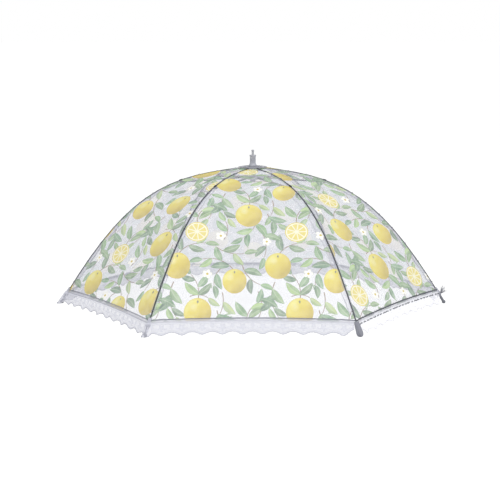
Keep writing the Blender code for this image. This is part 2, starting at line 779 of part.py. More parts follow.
parts = new_collection("mesh_food_cover")
cutters = new_collection("cutters")
helpers = new_collection("helpers")
steel = new_material("steel", STEEL, 0.35, 1.0)
dark_steel = new_material("dark_steel", DARK_STEEL, 0.45, 0.8)
plastic = new_material("grey_plastic", GREY_PLASTIC, 0.4)
cloth = new_material("printed_net", CLOTH_WHITE, 0.9)
white_lace = new_material("white_lace", LACE_WHITE, 0.9)

runner_slide = new_empty("runner_slide", (0, 0, SEAT_HEIGHT))
make_hub()
make_ring_wire()
make_collar()
make_cloth_cap()
make_runner(runner_slide)
make_plunger(runner_slide)
make_rib_sets()
make_canopy()
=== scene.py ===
"""The looks of a folding mesh food cover: its printed net, lace, bindings, steel and plastic.

Lengths are metres and angles are degrees unless a name says otherwise. Sector k of the canopy lies
between ribs k and k + 1. Seen from outside, its left half hangs on rib k and its right half on rib k + 1.
"""

import json
import math

import bpy
import numpy as np
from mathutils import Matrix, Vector


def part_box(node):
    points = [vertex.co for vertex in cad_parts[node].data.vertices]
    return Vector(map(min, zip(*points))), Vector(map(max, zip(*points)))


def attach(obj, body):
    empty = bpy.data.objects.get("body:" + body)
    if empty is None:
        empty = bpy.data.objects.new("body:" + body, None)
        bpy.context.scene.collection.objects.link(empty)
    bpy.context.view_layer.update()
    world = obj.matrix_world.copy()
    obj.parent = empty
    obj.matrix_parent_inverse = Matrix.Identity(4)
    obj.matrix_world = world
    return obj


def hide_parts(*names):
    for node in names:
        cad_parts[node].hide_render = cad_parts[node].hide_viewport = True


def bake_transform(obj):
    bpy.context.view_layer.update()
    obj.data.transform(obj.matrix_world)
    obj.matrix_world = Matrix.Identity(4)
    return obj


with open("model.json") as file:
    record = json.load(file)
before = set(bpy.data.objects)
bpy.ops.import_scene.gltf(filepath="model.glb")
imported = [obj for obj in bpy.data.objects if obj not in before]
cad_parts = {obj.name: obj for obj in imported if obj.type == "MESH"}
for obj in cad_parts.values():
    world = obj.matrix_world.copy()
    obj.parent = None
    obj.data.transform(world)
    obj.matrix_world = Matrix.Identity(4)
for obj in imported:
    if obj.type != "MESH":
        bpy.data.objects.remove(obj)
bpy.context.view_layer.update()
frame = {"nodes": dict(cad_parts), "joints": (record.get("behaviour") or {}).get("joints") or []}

# The dome, as the frame has it
RIB_COUNT = 6
SECTOR = 360.0 / RIB_COUNT
HALF = math.radians(SECTOR / 2)
HINGE_RADIUS, _, HINGE_HEIGHT = next(j["pos_m"] for j in frame["joints"] if j["name"] == "rib_1_fold")
RIM_RADIUS = 0.305
CROWN_RISE = 0.2053
RIM_HEIGHT = HINGE_HEIGHT - CROWN_RISE
RIB_START_ANGLE = 4.0
RIB_END_ANGLE = 58.0
RIB_FULLNESS_SHARE = 0.79
JOINT_RADIUS = 0.117
HUB_RADIUS = 0.0155
HEM_RISE = 0.003
TIP_MOUTH_RADIUS = 0.0026

# How the net lies on the ribs
GORE_START_RADIUS = 0.0183
LIFT_MIDDLE = 0.0025
LIFT_SEAM = 0.0003
SEAM_REACH = 0.006
SEAM_GAP = 0.0012
SAG = 0.0040
PLEAT = 0.0007
PLEAT_REACH = 0.030
PLEATS = 3
PUCKER = 0.0005
PUCKER_REACH = 0.045
GORE_ROWS = 160
GORE_COLUMNS = 70

# The print's repeat, a half drop
PRINT_WIDTH = 0.150
PRINT_HEIGHT = 0.166
LEAF_LENGTH = 0.029
LEAF_WIDTH = 0.0120
LEAF_SHAPE = (3.07, 0.72, 0.92)  # its fullness, and how blunt its base and its point are
FRUIT_STRETCH = 1.12
LEAF_BEND_SHARE = 0.18
STEM_WIDTH = 0.0010
SEARCH_STEP = 0.002
LEAF_CLEARANCE = 0.0022
STEM_CLEARANCE = 0.0030
# Across share, down share, radius and tone. A tone under 1 is a whole fruit, one from CUT_FROM on a
# cut one, and one from BLOSSOM_FROM on a blossom.
CUT_FROM = 1.5
BLOSSOM_FROM = 3.5
FRUIT_SHARES = [
    (0.17, 0.15, 0.0195, 0.35),
    (0.74, 0.30, 0.0180, 0.75),
    (0.38, 0.60, 0.0205, 0.55),
    (0.86, 0.80, 0.0175, 2.4),
    (0.47, 0.23, 0.0080, 4.2),
    (0.10, 0.84, 0.0085, 4.6),
    (0.56, 0.90, 0.0075, 4.4),
]
# Across share, down share, heading, length, turn, leaves and tone. A heading of 0 runs right, 90 down.
SPRIG_SHARES = [
    (0.17, 0.05, -62.0, 0.050, 70.0, 4, 0.2),
    (0.74, 0.205, -120.0, 0.056, -75.0, 4, 0.7),
    (0.38, 0.49, -75.0, 0.046, -60.0, 4, 0.45),
    (0.86, 0.70, -95.0, 0.050, 85.0, 4, 0.05),
    (0.14, 0.31, 115.0, 0.058, -60.0, 4, 0.85),
    (0.47, 0.75, 50.0, 0.056, 60.0, 3, 0.3),
    (0.62, 0.41, 75.0, 0.034, 40.0, 2, 0.95),
    (0.97, 0.40, 60.0, 0.045, 60.0, 3, 0.15),
    (0.05, 0.955, 40.0, 0.046, -50.0, 3, 0.55),
    (0.81, 0.11, 84.0, 0.049, -61.0, 3, 0.26),
    (0.46, 0.65, 94.0, 0.042, 55.0, 4, 0.02),
    (0.13, 0.88, -57.0, 0.036, -59.0, 2, 0.01),
    (0.57, 0.58, 82.0, 0.028, -55.0, 3, 0.78),
    (0.30, 0.45, -27.0, 0.029, 63.0, 2, 0.57),
    (0.63, 0.16, 147.0, 0.035, -65.0, 2, 0.79),
]
# How wide the print runs on each sector, and where each is cut from the cloth
PRINT_STRETCH = [1.35, 1.0, 1.35, 1.35, 1.0, 1.35]
CUT_SHARES = [(0.30, 0.10), (0.75, 0.45), (0.10, 0.80), (0.55, 0.25), (0.92, 0.62), (0.40, 0.95)]

# The lace and the hem
LACE_DEPTH = 0.0205
FLOOR_CLEARANCE = 0.0004
TOOTH_DEPTH = 0.0040
TEETH = 5
TOOTH_POINT = 1.4
PICOTS = 7
PICOT_DEPTH = 0.0010
LACE_FALL_ANGLE = 72.0
LACE_CLEAR = 0.0030
LACE_COLUMNS = 48
LACE_ROWS = 14
LACE_OVERLAP = 0.0012
LACE_EDGE_RADIUS = 0.00035
RUFFLE = 0.0012
TAPE_WIDTH = 0.0032
TAPE_LIFT = 0.0005
HEM_COLUMNS = 60
CORD_RADIUS = 0.0005
DARK_CORD_RADIUS = 0.00092
HEM_LINE_RADIUS = 0.00032
HEM_INSIDE_RADIUS = 0.0006
STITCH_LENGTH = 0.0021
STITCH_PITCH = 0.0032
STITCH_RADIUS = 0.00028

HEM_HALF = RIM_RADIUS * math.sin(HALF)
TOOTH_PITCH = (HEM_HALF - LACE_CLEAR) / TEETH
LACE_REACH = 1 - LACE_CLEAR / HEM_HALF
LONG_STITCHES = 13
LONG_STITCH_DROP = 0.0017
LINED_SECTOR = 4  # its hem shows a second thin line
BRIGHT_SECTOR = 6  # its hem shows the dark rim cord, over lace painted lit: whiter, as where light falls full on it

# The seam allowance that hangs inside, beside the ribs
CASING_WIDTH = 0.0042
CASING_EDGE_RADIUS = 0.0004
TIES = 11
TIE_RADIUS = 0.0017
TIE_THREAD_RADIUS = 0.00024
TIE_SHARES = (0.12, 0.96)
TIE_CLIP_ROOM = 0.008
CASING_SHARES = (0.09, 0.975)
CASING_CLIP_ROOM = 0.018  # a share of the rib, like CASING_SHARES
CASING_ROWS = 120
CASING_WIDTHS = {(5, "right"): 0.0090, (4, "right"): 0.0060}

# What covers the tips
CORNER_TEETH = 2
CORNER_OUT = (0.0048, 0.0119)  # the lace stands this far out round a tip, at its top and its edge
CORNER_GATHERS = 3
CORNER_GATHER_DEPTH = 0.0009
WHIP_LAPS = 5
WHIP_RADIUS = 0.00028
# Where a pocket starts and ends along the tip, its radius there, and the share from which it is round
LONG_POCKET = (-0.0030, 0.0214, 0.0036, 0.0054, 0.66)
SHORT_POCKET = (-0.0090, 0.0030, 0.0026, 0.0032, 1.0)
POCKET_REACH = 165.0
POCKET_GATHERS = 7.0
POCKET_GATHER_DEPTH = 0.0005
POCKET_ROWS = 16
POCKET_STEPS = 48
POCKET_RIB = 6  # its tip is in a long pocket
BARE_RIBS = (1, 6)  # no lace goes round these tips
DRAWN_FROM = 0.88
DRAWN_UP = 0.42
FRAYS = {1: 46, 2: 3, 3: 4}

# The round patch at the top
CAP_HOLE = 0.0045
CAP_FALL = 0.0018
CAP_CURL = 0.0003
CAP_THICKNESS = 0.0005
CAP_RINGS = 16
CAP_STEPS = 96
CAP_STITCHES = 44
CAP_STITCH_RADIUS = 0.0002

# The net's hexagons
NET_PITCH = 0.0012
NET_THICKNESS = 0.0004
NET_THREAD_SHARE = 0.12
THREAD_COVER = 0.55
FILM_COVER = 0.10


def paint(red, green, blue):
    """A colour given as it shows on a screen, from 0 to 255, as Blender's linear values."""
    shown = [value / 255 for value in (red, green, blue)]
    return tuple(v / 12.92 if v <= 0.04045 else ((v + 0.055) / 1.055) ** 2.4 for v in shown)


NET_WHITE = paint(186, 189, 197)
TAPE_GREY = paint(226, 226, 234)
HEM_GREY = paint(160, 162, 175)
HEM_DARK = paint(110, 113, 121)
LACE_GROUND = paint(158, 159, 171)
LACE_FIGURE = paint(186, 187, 197)
LACE_SHADE = paint(126, 128, 143)
# The colour of the lace's painted glow
LACE_GLOW = paint(222, 223, 231)
CAP_GREY = paint(200, 201, 209)
THREAD_GREY = paint(172, 173, 182)
PLASTIC_GREY = paint(190, 191, 199)
TIP_GREY = paint(128, 130, 138)
POCKET_GREY = paint(156, 157, 167)
RIB_DARK = paint(78, 82, 88)
CLIP_DARK = paint(62, 65, 70)
STEEL = paint(185, 186, 190)
FLOOR_GREY = (0.32, 0.32, 0.32)


# The dome's shape

def along(fall):
    """The way outward that falls this many degrees, as (radius, height)."""
    return np.array([math.cos(math.radians(fall)), -math.sin(math.radians(fall))])


def rib_handles():
    """The four control points of a rib's curve."""
    start, end = np.array([HINGE_RADIUS, HINGE_HEIGHT]), np.array([RIM_RADIUS, RIM_HEIGHT])
    first, last = along(RIB_START_ANGLE), along(RIB_END_ANGLE)
    span = end - start
    reach = (span[0] * last[1] - span[1] * last[0]) / (first[0] * last[1] - first[1] * last[0])
    meet = start + first * reach
    full = RIB_FULLNESS_SHARE
    return start, start + (meet - start) * full, end + (meet - end) * full, end


HANDLES = rib_handles()
HEM_SHARE = HEM_RISE / (3 * (HANDLES[2][1] - HANDLES[3][1]))


def rib_point(share):
    """Radius and height of a rib's middle line, from its hinge at 0 to the rim at 1."""
    share = np.asarray(share, float)[..., None]
    rest = 1 - share
    a, b, c, d = HANDLES
    return a * rest**3 + b * (3 * rest**2 * share) + c * (3 * rest * share**2) + d * share**3


def rib_outward(share):
    """The direction square to the rib that points out of the dome."""
    share = np.asarray(share, float)[..., None]
    rest = 1 - share
    a, b, c, d = HANDLES
    way = (b - a) * rest**2 + (c - b) * (2 * rest * share) + (d - c) * share**2
    way = way / np.linalg.norm(way, axis=-1, keepdims=True)
    return np.stack([-way[..., 1], way[..., 0]], axis=-1)


SHARES = np.linspace(0, 1, 400)
RADII = rib_point(SHARES)[:, 0]
MIDDLE_LINE = rib_point(SHARES) * np.array([math.cos(HALF), 1.0])
LENGTHS = np.append(0, np.cumsum(np.linalg.norm(np.diff(MIDDLE_LINE, axis=0), axis=1)))
START_SHARE = float(np.interp(GORE_START_RADIUS, RADII, SHARES))
GORE_LENGTH = float(LENGTHS[-1] - np.interp(START_SHARE, SHARES, LENGTHS))


def cloth_share(across, down):
    """Where on the rib's curve a point of the cloth is read. The hem rises between two ribs."""
    bow = 1 - HEM_SHARE * np.cos(across * math.pi / 2)
    return (START_SHARE + (1 - START_SHARE) * down) * bow


def cloth_run(across, down):
    """How far to the right of its sector's middle a point of the cloth lies."""
    radius = rib_point(cloth_share(across, down))[..., 0]
    return across * (radius * math.sin(HALF) - SEAM_GAP)


def cloth_sag(across, down, radius):
    """How far the net hangs in, with the pleats under the cap and the puckers at the corners."""
    sag = SAG * (1 - across**2) * np.sin(math.pi * np.clip(down, 0, 1))
    pleats = PLEAT * np.exp(-(radius - GORE_START_RADIUS) / PLEAT_REACH)
    pleats = pleats * (1 - np.cos(2 * math.pi * PLEATS * across)) * (1 - across**2)
    corner = radius * math.sin(HALF) * (1 - np.abs(across))
    pucker = PUCKER * np.exp(-(corner + (1 - down) * GORE_LENGTH) / PUCKER_REACH)
    pucker = pucker * np.sin(corner / PUCKER_REACH * 4 * math.pi) * (1 - np.exp(-corner / SEAM_REACH))
    return sag + pleats + pucker


def together(*parts):
    """Arrays spread to one shape and stacked along a new last axis."""
    return np.stack(np.broadcast_arrays(*parts), axis=-1)


def in_space(sector, out, run, height):
    """Points given by their distance out along a sector's middle, to the right of it, and height."""
    turn = math.radians((sector - 0.5) * SECTOR)
    x = out * math.cos(turn) - run * math.sin(turn)
    y = out * math.sin(turn) + run * math.cos(turn)
    return together(x, y, height)


def cloth_point(sector, across, down, raised=0.0):
    """Points of the net. across is -1 at the left rib and 1 at the right one; down is 1 at the hem."""
    across, down = np.broadcast_arrays(np.asarray(across, float), np.asarray(down, float))
    share = cloth_share(across, down)
    line, outward = rib_point(share), rib_outward(share)
    radius = line[..., 0]
    from_rib = radius * math.sin(HALF) * (1 - np.abs(across))
    lift = LIFT_MIDDLE - (LIFT_MIDDLE - LIFT_SEAM) * np.exp(-from_rib / SEAM_REACH)
    lift = lift - cloth_sag(across, down, radius) + raised
    line = line + outward * lift[..., None]
    return in_space(sector, line[..., 0] * math.cos(HALF), cloth_run(across, down), line[..., 1])


# The print, in the cloth's own coordinates: across to the right and down, in metres

def sprig_line(sprig, shares):
    """Points and headings along a sprig's stem, which is an arc."""
    across, down, heading, length, turn, _, _ = sprig
    first, bend = math.radians(heading), math.radians(turn)
    headings = first + bend * shares
    steps = np.stack([np.sin(headings) - math.sin(first), math.cos(first) - np.cos(headings)], axis=-1)
    return np.array([across * PRINT_WIDTH, down * PRINT_HEIGHT]) + steps * length / bend, headings


def sprig_leaves(sprig):
    """Base, heading, length, width and tone of a sprig's leaves, on either side in turn."""
    count, tone = sprig[5], sprig[6]
    leaves = []
    for n in range(count):
        share = np.array((n + 0.8) / (count - 0.2))
        point, heading = sprig_line(sprig, share)
        side = 1 if n % 2 else -1
        spread = 0.0 if n == count - 1 else side * math.radians(52.0 - 14.0 * float(share))
        size = 1.08 - 0.34 * float(share)
        leaf_tone = (tone + 0.37 * n) % 1.0
        leaves.append((point, float(heading) + spread, LEAF_LENGTH * size, LEAF_WIDTH * size, leaf_tone))
    return leaves


def from_place(points, place):
    """Offsets of the points from the nearest copy of a place in the repeat."""
    across, down = points[:, 0] - place[0], points[:, 1] - place[1]
    row = np.round(down / PRINT_HEIGHT)
    across = across - row * PRINT_WIDTH / 2
    across = across - np.round(across / PRINT_WIDTH) * PRINT_WIDTH
    return np.stack([across, down - row * PRINT_HEIGHT], axis=1)


def turned(offset, heading):
    """Offsets as seen along a heading: (along it, to its side)."""
    ahead = offset[:, 0] * math.cos(heading) + offset[:, 1] * math.sin(heading)
    side = -offset[:, 0] * math.sin(heading) + offset[:, 1] * math.cos(heading)
    return ahead, side


def leaf_shape(share):
    """A leaf's half width, as a share of its widest."""
    full, base, point = LEAF_SHAPE
    return full * np.clip(share, 0, 1) ** base * np.clip(1 - share, 0, 1) ** point


def leaf_at(points, leaf):
    """Share along a leaf, share across it, its tone, and how far inside its edge the points are."""
    base, heading, length, width, tone = leaf
    middle = base + np.array([math.cos(heading), math.sin(heading)]) * length / 2
    ahead, side = turned(from_place(points, middle), heading)
    ahead = ahead + length / 2
    share = ahead / length
    bend = LEAF_BEND_SHARE * width * (1 if tone > 0.5 else -1)
    side = side - bend * np.sin(math.pi * np.clip(share, 0, 1))
    inside = width / 2 * leaf_shape(share) - np.abs(side)
    beyond = np.hypot(np.maximum(0, -ahead) + np.maximum(0, ahead - length), side)
    inside = np.where((share < 0) | (share > 1), -beyond, inside)
    return together(share, side / (width / 2), tone, inside)


def fruit_at(points, fruit):
    """Shares of a fruit's radius right and down from its middle, its tone, and how far inside it."""
    across, down, radius, tone = fruit
    offset = from_place(points, np.array([across * PRINT_WIDTH, down * PRINT_HEIGHT]))
    if tone < 1:
        offset[:, 1] /= FRUIT_STRETCH
    inside = radius - np.hypot(offset[:, 0], offset[:, 1])
    return together(offset[:, 0] / radius, offset[:, 1] / radius, tone, inside)


def stem_at(points, sprig):
    """Share along a stem, stem widths across it, its tone, and how far inside it the points are."""
    shares = np.linspace(0, 1, 25)
    best = np.full((len(points), 4), -1.0)
    for place, heading, share in zip(*sprig_line(sprig, shares), shares):
        offset = from_place(points, place)
        ahead, side = turned(offset, heading)
        inside = STEM_WIDTH / 2 - np.hypot(offset[:, 0], offset[:, 1])
        row = together(share + ahead / sprig[3], side / STEM_WIDTH, sprig[6], inside)
        nearer = inside > best[:, 3]
        best[nearer] = row[nearer]
    return best


def dealt(motifs, measure, clearance):
    """The motifs in as few layers as keep those of one layer this far apart."""
    across = np.arange(0, PRINT_WIDTH, SEARCH_STEP)
    down = np.arange(0, PRINT_HEIGHT, SEARCH_STEP)
    grid = np.stack(np.meshgrid(across, down), axis=-1).reshape(-1, 2)
    layers = []
    for motif in motifs:
        inside = measure(grid, motif)[:, 3]
        for layer in layers:
            if np.minimum(layer["inside"], inside).max() < -clearance:
                break
        else:
            layer = {"motifs": [], "inside": np.full(len(grid), -1.0)}
            layers.append(layer)
        layer["motifs"].append(motif)
        layer["inside"] = np.maximum(layer["inside"], inside)
    return [layer["motifs"] for layer in layers]


def owned(points, motifs, measure):
    """For each point, what the motif with the nearest edge measures there."""
    values = np.array([measure(points, motif) for motif in motifs])
    owner = values[:, :, 3].argmax(axis=0)
    return values[owner, np.arange(len(points))]


LEAF_LAYERS = dealt([leaf for sprig in SPRIG_SHARES for leaf in sprig_leaves(sprig)], leaf_at, LEAF_CLEARANCE)
STEM_LAYERS = dealt(SPRIG_SHARES, stem_at, STEM_CLEARANCE)
PRINT_LAYERS = (
    [(f"stems_{n}", layer, stem_at) for n, layer in enumerate(STEM_LAYERS)]
    + [(f"leaves_{n}", layer, leaf_at) for n, layer in enumerate(LEAF_LAYERS)]
    + [("fruits", FRUIT_SHARES, fruit_at)]
)


# Materials

class Finish:
    """A Principled material whose nodes are written as expressions."""

    def __init__(self, name, roughness=0.5, metallic=0.0):
        self.material = bpy.data.materials.new(name)
        self.material.use_nodes = True
        self.tree = self.material.node_tree
        self.surface = self.tree.nodes["Principled BSDF"]
        self.set("Roughness", roughness)
        self.set("Metallic", metallic)

    def feed(self, socket, value):
        if isinstance(value, bpy.types.NodeSocket):
            self.tree.links.new(value, socket)
        elif hasattr(value, "__len__") and len(value) == 3 and socket.type == "RGBA":
            socket.default_value = (*value, 1.0)
        else:
            socket.default_value = value

    def set(self, socket, value):
        self.feed(self.surface.inputs[socket], value)

    def node(self, kind, **settings):
        made = self.tree.nodes.new(kind)
        for name, value in settings.items():
            setattr(made, name, value)
        return made

    def fed(self, kind, values, output=0, **settings):
        """An output of a new node whose first inputs take these values."""
        made = self.node(kind, **settings)
        for socket, value in zip(made.inputs, values):
            self.feed(socket, value)
        return made.outputs[output]

    def math(self, operation, *values):
        return self.fed("ShaderNodeMath", values, operation=operation)

    def times(self, one, other):
        return self.math("MULTIPLY", one, other)

    def times_plus(self, one, other, added):
        return self.math("MULTIPLY_ADD", one, other, added)

    def less(self, one, other):
        return self.math("SUBTRACT", one, other)

    def rest(self, share):
        return self.math("SUBTRACT", 1.0, share)

    def most(self, one, other):
        return self.math("MAXIMUM", one, other)

    def size(self, value):
        return self.math("ABSOLUTE", value)

    def vector(self, operation, *values, output=0):
        return self.fed("ShaderNodeVectorMath", values, output, operation=operation)

    def smooth(self, value, low, high):
        return self.fed("ShaderNodeMapRange", (value, low, high), interpolation_type="SMOOTHSTEP")

    def scaled(self, value, low, high, new_low, new_high):
        return self.fed("ShaderNodeMapRange", (value, low, high, new_low, new_high))

    def mixed(self, share, one, other, blend="MIX"):
        made = self.node("ShaderNodeMix", data_type="RGBA", blend_type=blend)
        self.feed(made.inputs[0], share)
        self.feed(made.inputs[6], one)
        self.feed(made.inputs[7], other)
        return made.outputs[2]

    def ramp(self, share, stops):
        made = self.node("ShaderNodeValToRGB")
        steps = made.color_ramp.elements
        while len(steps) < len(stops):
            steps.new(0.5)
        for step, (place, colour) in zip(steps, stops):
            step.position = place
            step.color = (*colour, 1.0)
        self.feed(made.inputs[0], share)
        return made.outputs[0]

    def noise(self, where, scale, detail=2.0, roughness=0.5):
        made = self.node("ShaderNodeTexNoise")
        self.feed(made.inputs["Vector"], where)
        self.feed(made.inputs["Scale"], scale)
        made.inputs["Detail"].default_value = detail
        made.inputs["Roughness"].default_value = roughness
        return made.outputs[0]

    def wave(self, where, scale, distortion=0.0, direction="X"):
        made = self.node("ShaderNodeTexWave", bands_direction=direction)
        self.feed(made.inputs["Vector"], where)
        self.feed(made.inputs["Scale"], scale)
        made.inputs["Distortion"].default_value = distortion
        return made.outputs["Fac"]

    def uv(self, name):
        return self.node("ShaderNodeUVMap", uv_map=name).outputs[0]

    def place(self):
        return self.node("ShaderNodeTexCoord").outputs["Object"]

    def attribute(self, name):
        """The three values and the fourth of a stored attribute."""
        made = self.node("ShaderNodeAttribute", attribute_name=name)
        return made.outputs["Color"], made.outputs["Alpha"]

    def split(self, value):
        made = self.node("ShaderNodeSeparateXYZ")
        self.feed(made.inputs[0], value)
        return made.outputs[0], made.outputs[1], made.outputs[2]

    def bump(self, height, distance, strength=1.0):
        made = self.node("ShaderNodeBump")
        made.inputs["Strength"].default_value = strength
        made.inputs["Distance"].default_value = distance
        self.feed(made.inputs["Height"], height)
        self.set("Normal", made.outputs[0])


def hexagon_edge(finish, where, pitch):
    """How near a point is to the edge of its hexagon: 0.5 on the thread and 0 in the hole's middle."""
    step = (pitch, pitch * math.sqrt(3), 1.0)
    half = (pitch / 2, pitch * math.sqrt(3) / 2, 0.5)
    flat = finish.vector("MULTIPLY", where, (1.0, 1.0, 0.0))
    distances = []
    for start in ((0.0, 0.0, 0.0), half):
        moved = finish.vector("SUBTRACT", flat, start)
        cell = finish.vector("SUBTRACT", finish.vector("WRAP", moved, step, (0.0, 0.0, 0.0)), half)
        cell = finish.vector("ABSOLUTE", finish.vector("MULTIPLY", cell, (1.0, 1.0, 0.0)))
        level = finish.vector("DOT_PRODUCT", cell, (1.0, 0.0, 0.0), output=1)
        slanted = finish.vector("DOT_PRODUCT", cell, (0.5, math.sqrt(3) / 2, 0.0), output=1)
        distances.append(finish.most(level, slanted))
    return finish.math("DIVIDE", finish.math("MINIMUM", *distances), pitch)


def leaf_paint(finish, name, colour, cover, blotch, grain):
    """One layer of printed leaves laid over a colour."""
    values, inside = finish.attribute(name)
    share, side, tone = finish.split(values)
    full, base, point = LEAF_SHAPE
    rest = finish.rest(share)
    shape = finish.times(finish.math("POWER", finish.most(share, 0.0), base),
                         finish.math("POWER", finish.most(rest, 0.0), point))
    edge = finish.times_plus(shape, full, finish.times(finish.size(side), -1.0))
    ragged = finish.times_plus(grain, 0.16, finish.less(edge, 0.08))
    mask = finish.times(finish.smooth(ragged, -0.03, 0.06), finish.smooth(inside, *PRINT_GUARD))
    greens = finish.ramp(tone, LEAF_STOPS)
    upper = finish.smooth(side, -0.12, 0.12)
    greens = finish.mixed(finish.times(upper, 0.55), greens, LEAF_DEEP, "MULTIPLY")
    wash = finish.scaled(blotch, 0.35, 0.65, 0.0, 0.36)
    greens = finish.mixed(wash, greens, LEAF_PALE)
    pooled = finish.rest(finish.smooth(edge, 0.0, 0.30))
    greens = finish.mixed(finish.times(pooled, 0.45), greens, LEAF_DEEP, "MULTIPLY")
    vein = finish.rest(finish.smooth(finish.size(side), 0.03, 0.13))
    greens = finish.mixed(finish.times(vein, 0.5), greens, LEAF_VEIN)
    ribs = finish.math("SINE", finish.times(finish.less(share, finish.times(finish.size(side), 0.16)), 46.0))
    greens = finish.mixed(finish.times(finish.smooth(ribs, 0.55, 1.0), 0.2), greens, LEAF_VEIN)
    return finish.mixed(mask, colour, greens), finish.most(cover, mask)


def stem_paint(finish, name, colour, cover, grain):
    """One layer of printed stems laid over a colour."""
    values, inside = finish.attribute(name)
    share, side, _ = finish.split(values)
    wide = finish.times_plus(grain, 0.5, finish.scaled(share, 0.0, 1.0, 0.55, 0.25))
    edge = finish.less(wide, finish.size(side))
    mask = finish.times(finish.smooth(edge, -0.08, 0.12), finish.smooth(inside, -0.0030, -0.0020))
    ends = finish.times(finish.smooth(share, -0.01, 0.01), finish.rest(finish.smooth(share, 0.98, 1.0)))
    mask = finish.times(mask, ends)
    brown = finish.mixed(grain, STEM_DARK, STEM_PALE)
    return finish.mixed(mask, colour, brown), finish.most(cover, mask)


def fruit_paint(finish, name, colour, cover, blotch, grain):
    """The whole fruits, the cut ones and the blossoms, laid over a colour."""
    values, inside = finish.attribute(name)
    right, below, tone = finish.split(values)
    flat = finish.vector("MULTIPLY", values, (1.0, 1.0, 0.0))
    radius = finish.vector("LENGTH", flat, output=1)
    angle = finish.math("ARCTAN2", below, right)
    guard = finish.smooth(inside, *PRINT_GUARD)
    wobble = finish.times_plus(grain, 0.05, finish.less(0.975, radius))
    disc = finish.times(finish.smooth(wobble, -0.012, 0.025), guard)
    is_cut = finish.times(finish.math("GREATER_THAN", tone, CUT_FROM),
                          finish.math("LESS_THAN", tone, BLOSSOM_FROM))
    is_blossom = finish.math("GREATER_THAN", tone, BLOSSOM_FROM)

    # A whole fruit, lit from the upper left, with pores and a dimple at its stem
    lit = finish.vector("DOT_PRODUCT", flat, (-0.55, -0.62, 0.0), output=1)
    lit = finish.times_plus(blotch, 0.9, finish.less(lit, 0.45))
    whole = finish.ramp(finish.scaled(lit, -0.75, 0.85, 0.0, 1.0), FRUIT_STOPS)
    glow = finish.vector("DISTANCE", flat, (-0.34, -0.38, 0.0), output=1)
    glow = finish.rest(finish.smooth(glow, 0.02, 0.42))
    whole = finish.mixed(finish.times(glow, 0.55), whole, FRUIT_LIGHT)
    pores = finish.times(finish.smooth(grain, 0.56, 0.68), 0.35)
    whole = finish.mixed(pores, whole, FRUIT_DEEP)
    rim = finish.times(finish.smooth(radius, 0.78, 1.0), 0.45)
    whole = finish.mixed(rim, whole, FRUIT_DEEP)
    stalk = finish.vector("DISTANCE", flat, (0.0, -0.72, 0.0), output=1)
    star = finish.times_plus(finish.math("COSINE", finish.times(angle, 30.0)), 0.02, stalk)
    whole = finish.mixed(finish.rest(finish.smooth(star, 0.06, 0.11)), whole, STEM_GREEN)

    # A cut fruit: rind, pith and segments
    turn = finish.times(angle, SEGMENTS / (2 * math.pi))
    off = finish.size(finish.less(turn, finish.math("ROUND", turn)))
    wall = finish.times(finish.times(off, radius), 2 * math.pi / SEGMENTS)
    flesh = finish.times(finish.smooth(wall, 0.025, 0.065), finish.rest(finish.smooth(radius, 0.79, 0.83)))
    flesh = finish.times(flesh, finish.smooth(radius, 0.10, 0.16))
    streak = finish.math("SINE", finish.times_plus(angle, 60.0, finish.times(blotch, 30.0)))
    juice = finish.mixed(finish.scaled(streak, -1.0, 1.0, 0.0, 0.5), FRUIT_MIDDLE, FRUIT_LIGHT)
    cut = finish.mixed(flesh, PITH, juice)
    cut = finish.mixed(finish.smooth(radius, 0.90, 0.93), cut, FRUIT_MIDDLE)

    # A blossom: petals and a yellow middle
    petals = finish.size(finish.math("COSINE", finish.times(angle, PETALS / 2)))
    outline = finish.less(finish.times_plus(finish.math("POWER", petals, 0.6), 0.56, 0.42), radius)
    bloom = finish.times(finish.smooth(outline, -0.02, 0.05), guard)
    edge = finish.rest(finish.smooth(outline, 0.02, 0.22))
    blossom = finish.mixed(finish.times(edge, 0.5), PETAL, PETAL_SHADE)
    blossom = finish.mixed(finish.rest(finish.smooth(radius, 0.20, 0.28)), blossom, FRUIT_DEEP)

    shown = finish.mixed(is_cut, whole, cut)
    shown = finish.mixed(is_blossom, shown, blossom)
    mask = finish.node("ShaderNodeMix", data_type="FLOAT")
    for number, value in ((0, is_blossom), (2, disc), (3, bloom)):
        finish.feed(mask.inputs[number], value)
    mask = mask.outputs[0]
    return finish.mixed(mask, colour, shown), finish.most(cover, mask)


LEAF_STOPS = [
    (0.0, paint(126, 170, 106)),
    (0.22, paint(62, 112, 78)),
    (0.42, paint(170, 202, 120)),
    (0.62, paint(46, 92, 70)),
    (0.80, paint(104, 152, 108)),
    (1.0, paint(202, 212, 128)),
]
LEAF_DEEP = paint(162, 194, 172)
LEAF_PALE = paint(196, 216, 177)
LEAF_VEIN = paint(205, 220, 186)
STEM_DARK = paint(110, 77, 55)
STEM_PALE = paint(155, 134, 92)
STEM_GREEN = paint(110, 114, 47)
FRUIT_STOPS = [(0.0, paint(186, 165, 26)), (0.32, paint(213, 192, 30)), (0.66, paint(227, 211, 44)),
               (1.0, paint(240, 235, 116))]
FRUIT_DEEP = paint(203, 179, 22)
FRUIT_MIDDLE = paint(224, 204, 40)
FRUIT_LIGHT = paint(238, 233, 170)
PITH = paint(244, 241, 208)
PETAL = paint(252, 251, 240)
PETAL_SHADE = paint(214, 219, 190)
PRINT_GUARD = (-0.0016, -0.0008)  # the ink ends from 0.8 to 1.6 mm outside a motif's edge
SEGMENTS = 9
PETALS = 5
INK_COVER = 0.70
# The inner side's thread is painted lighter than the same thread outside, as if lit by light that comes
# through. Its print shows pale, partly because the ink is on the outer side and partly as painted light.
INSIDE_WHITE = paint(222, 222, 230)
INSIDE_THREAD = paint(210, 211, 220)
INSIDE_SHARE = 0.12
INSIDE_COVER = 0.82
# Strengths of the painted glow on the net's inner side, the threads' share of it, and on the lace. The glow
# stands in for light that comes through the cloth.
THROUGH_LIGHT = 0.62
THREAD_LIGHT_SHARE = 0.8
LACE_THROUGH_LIGHT = 0.36
WEAVE_SCALE = 700.0
TWIST_SCALE = 1400.0


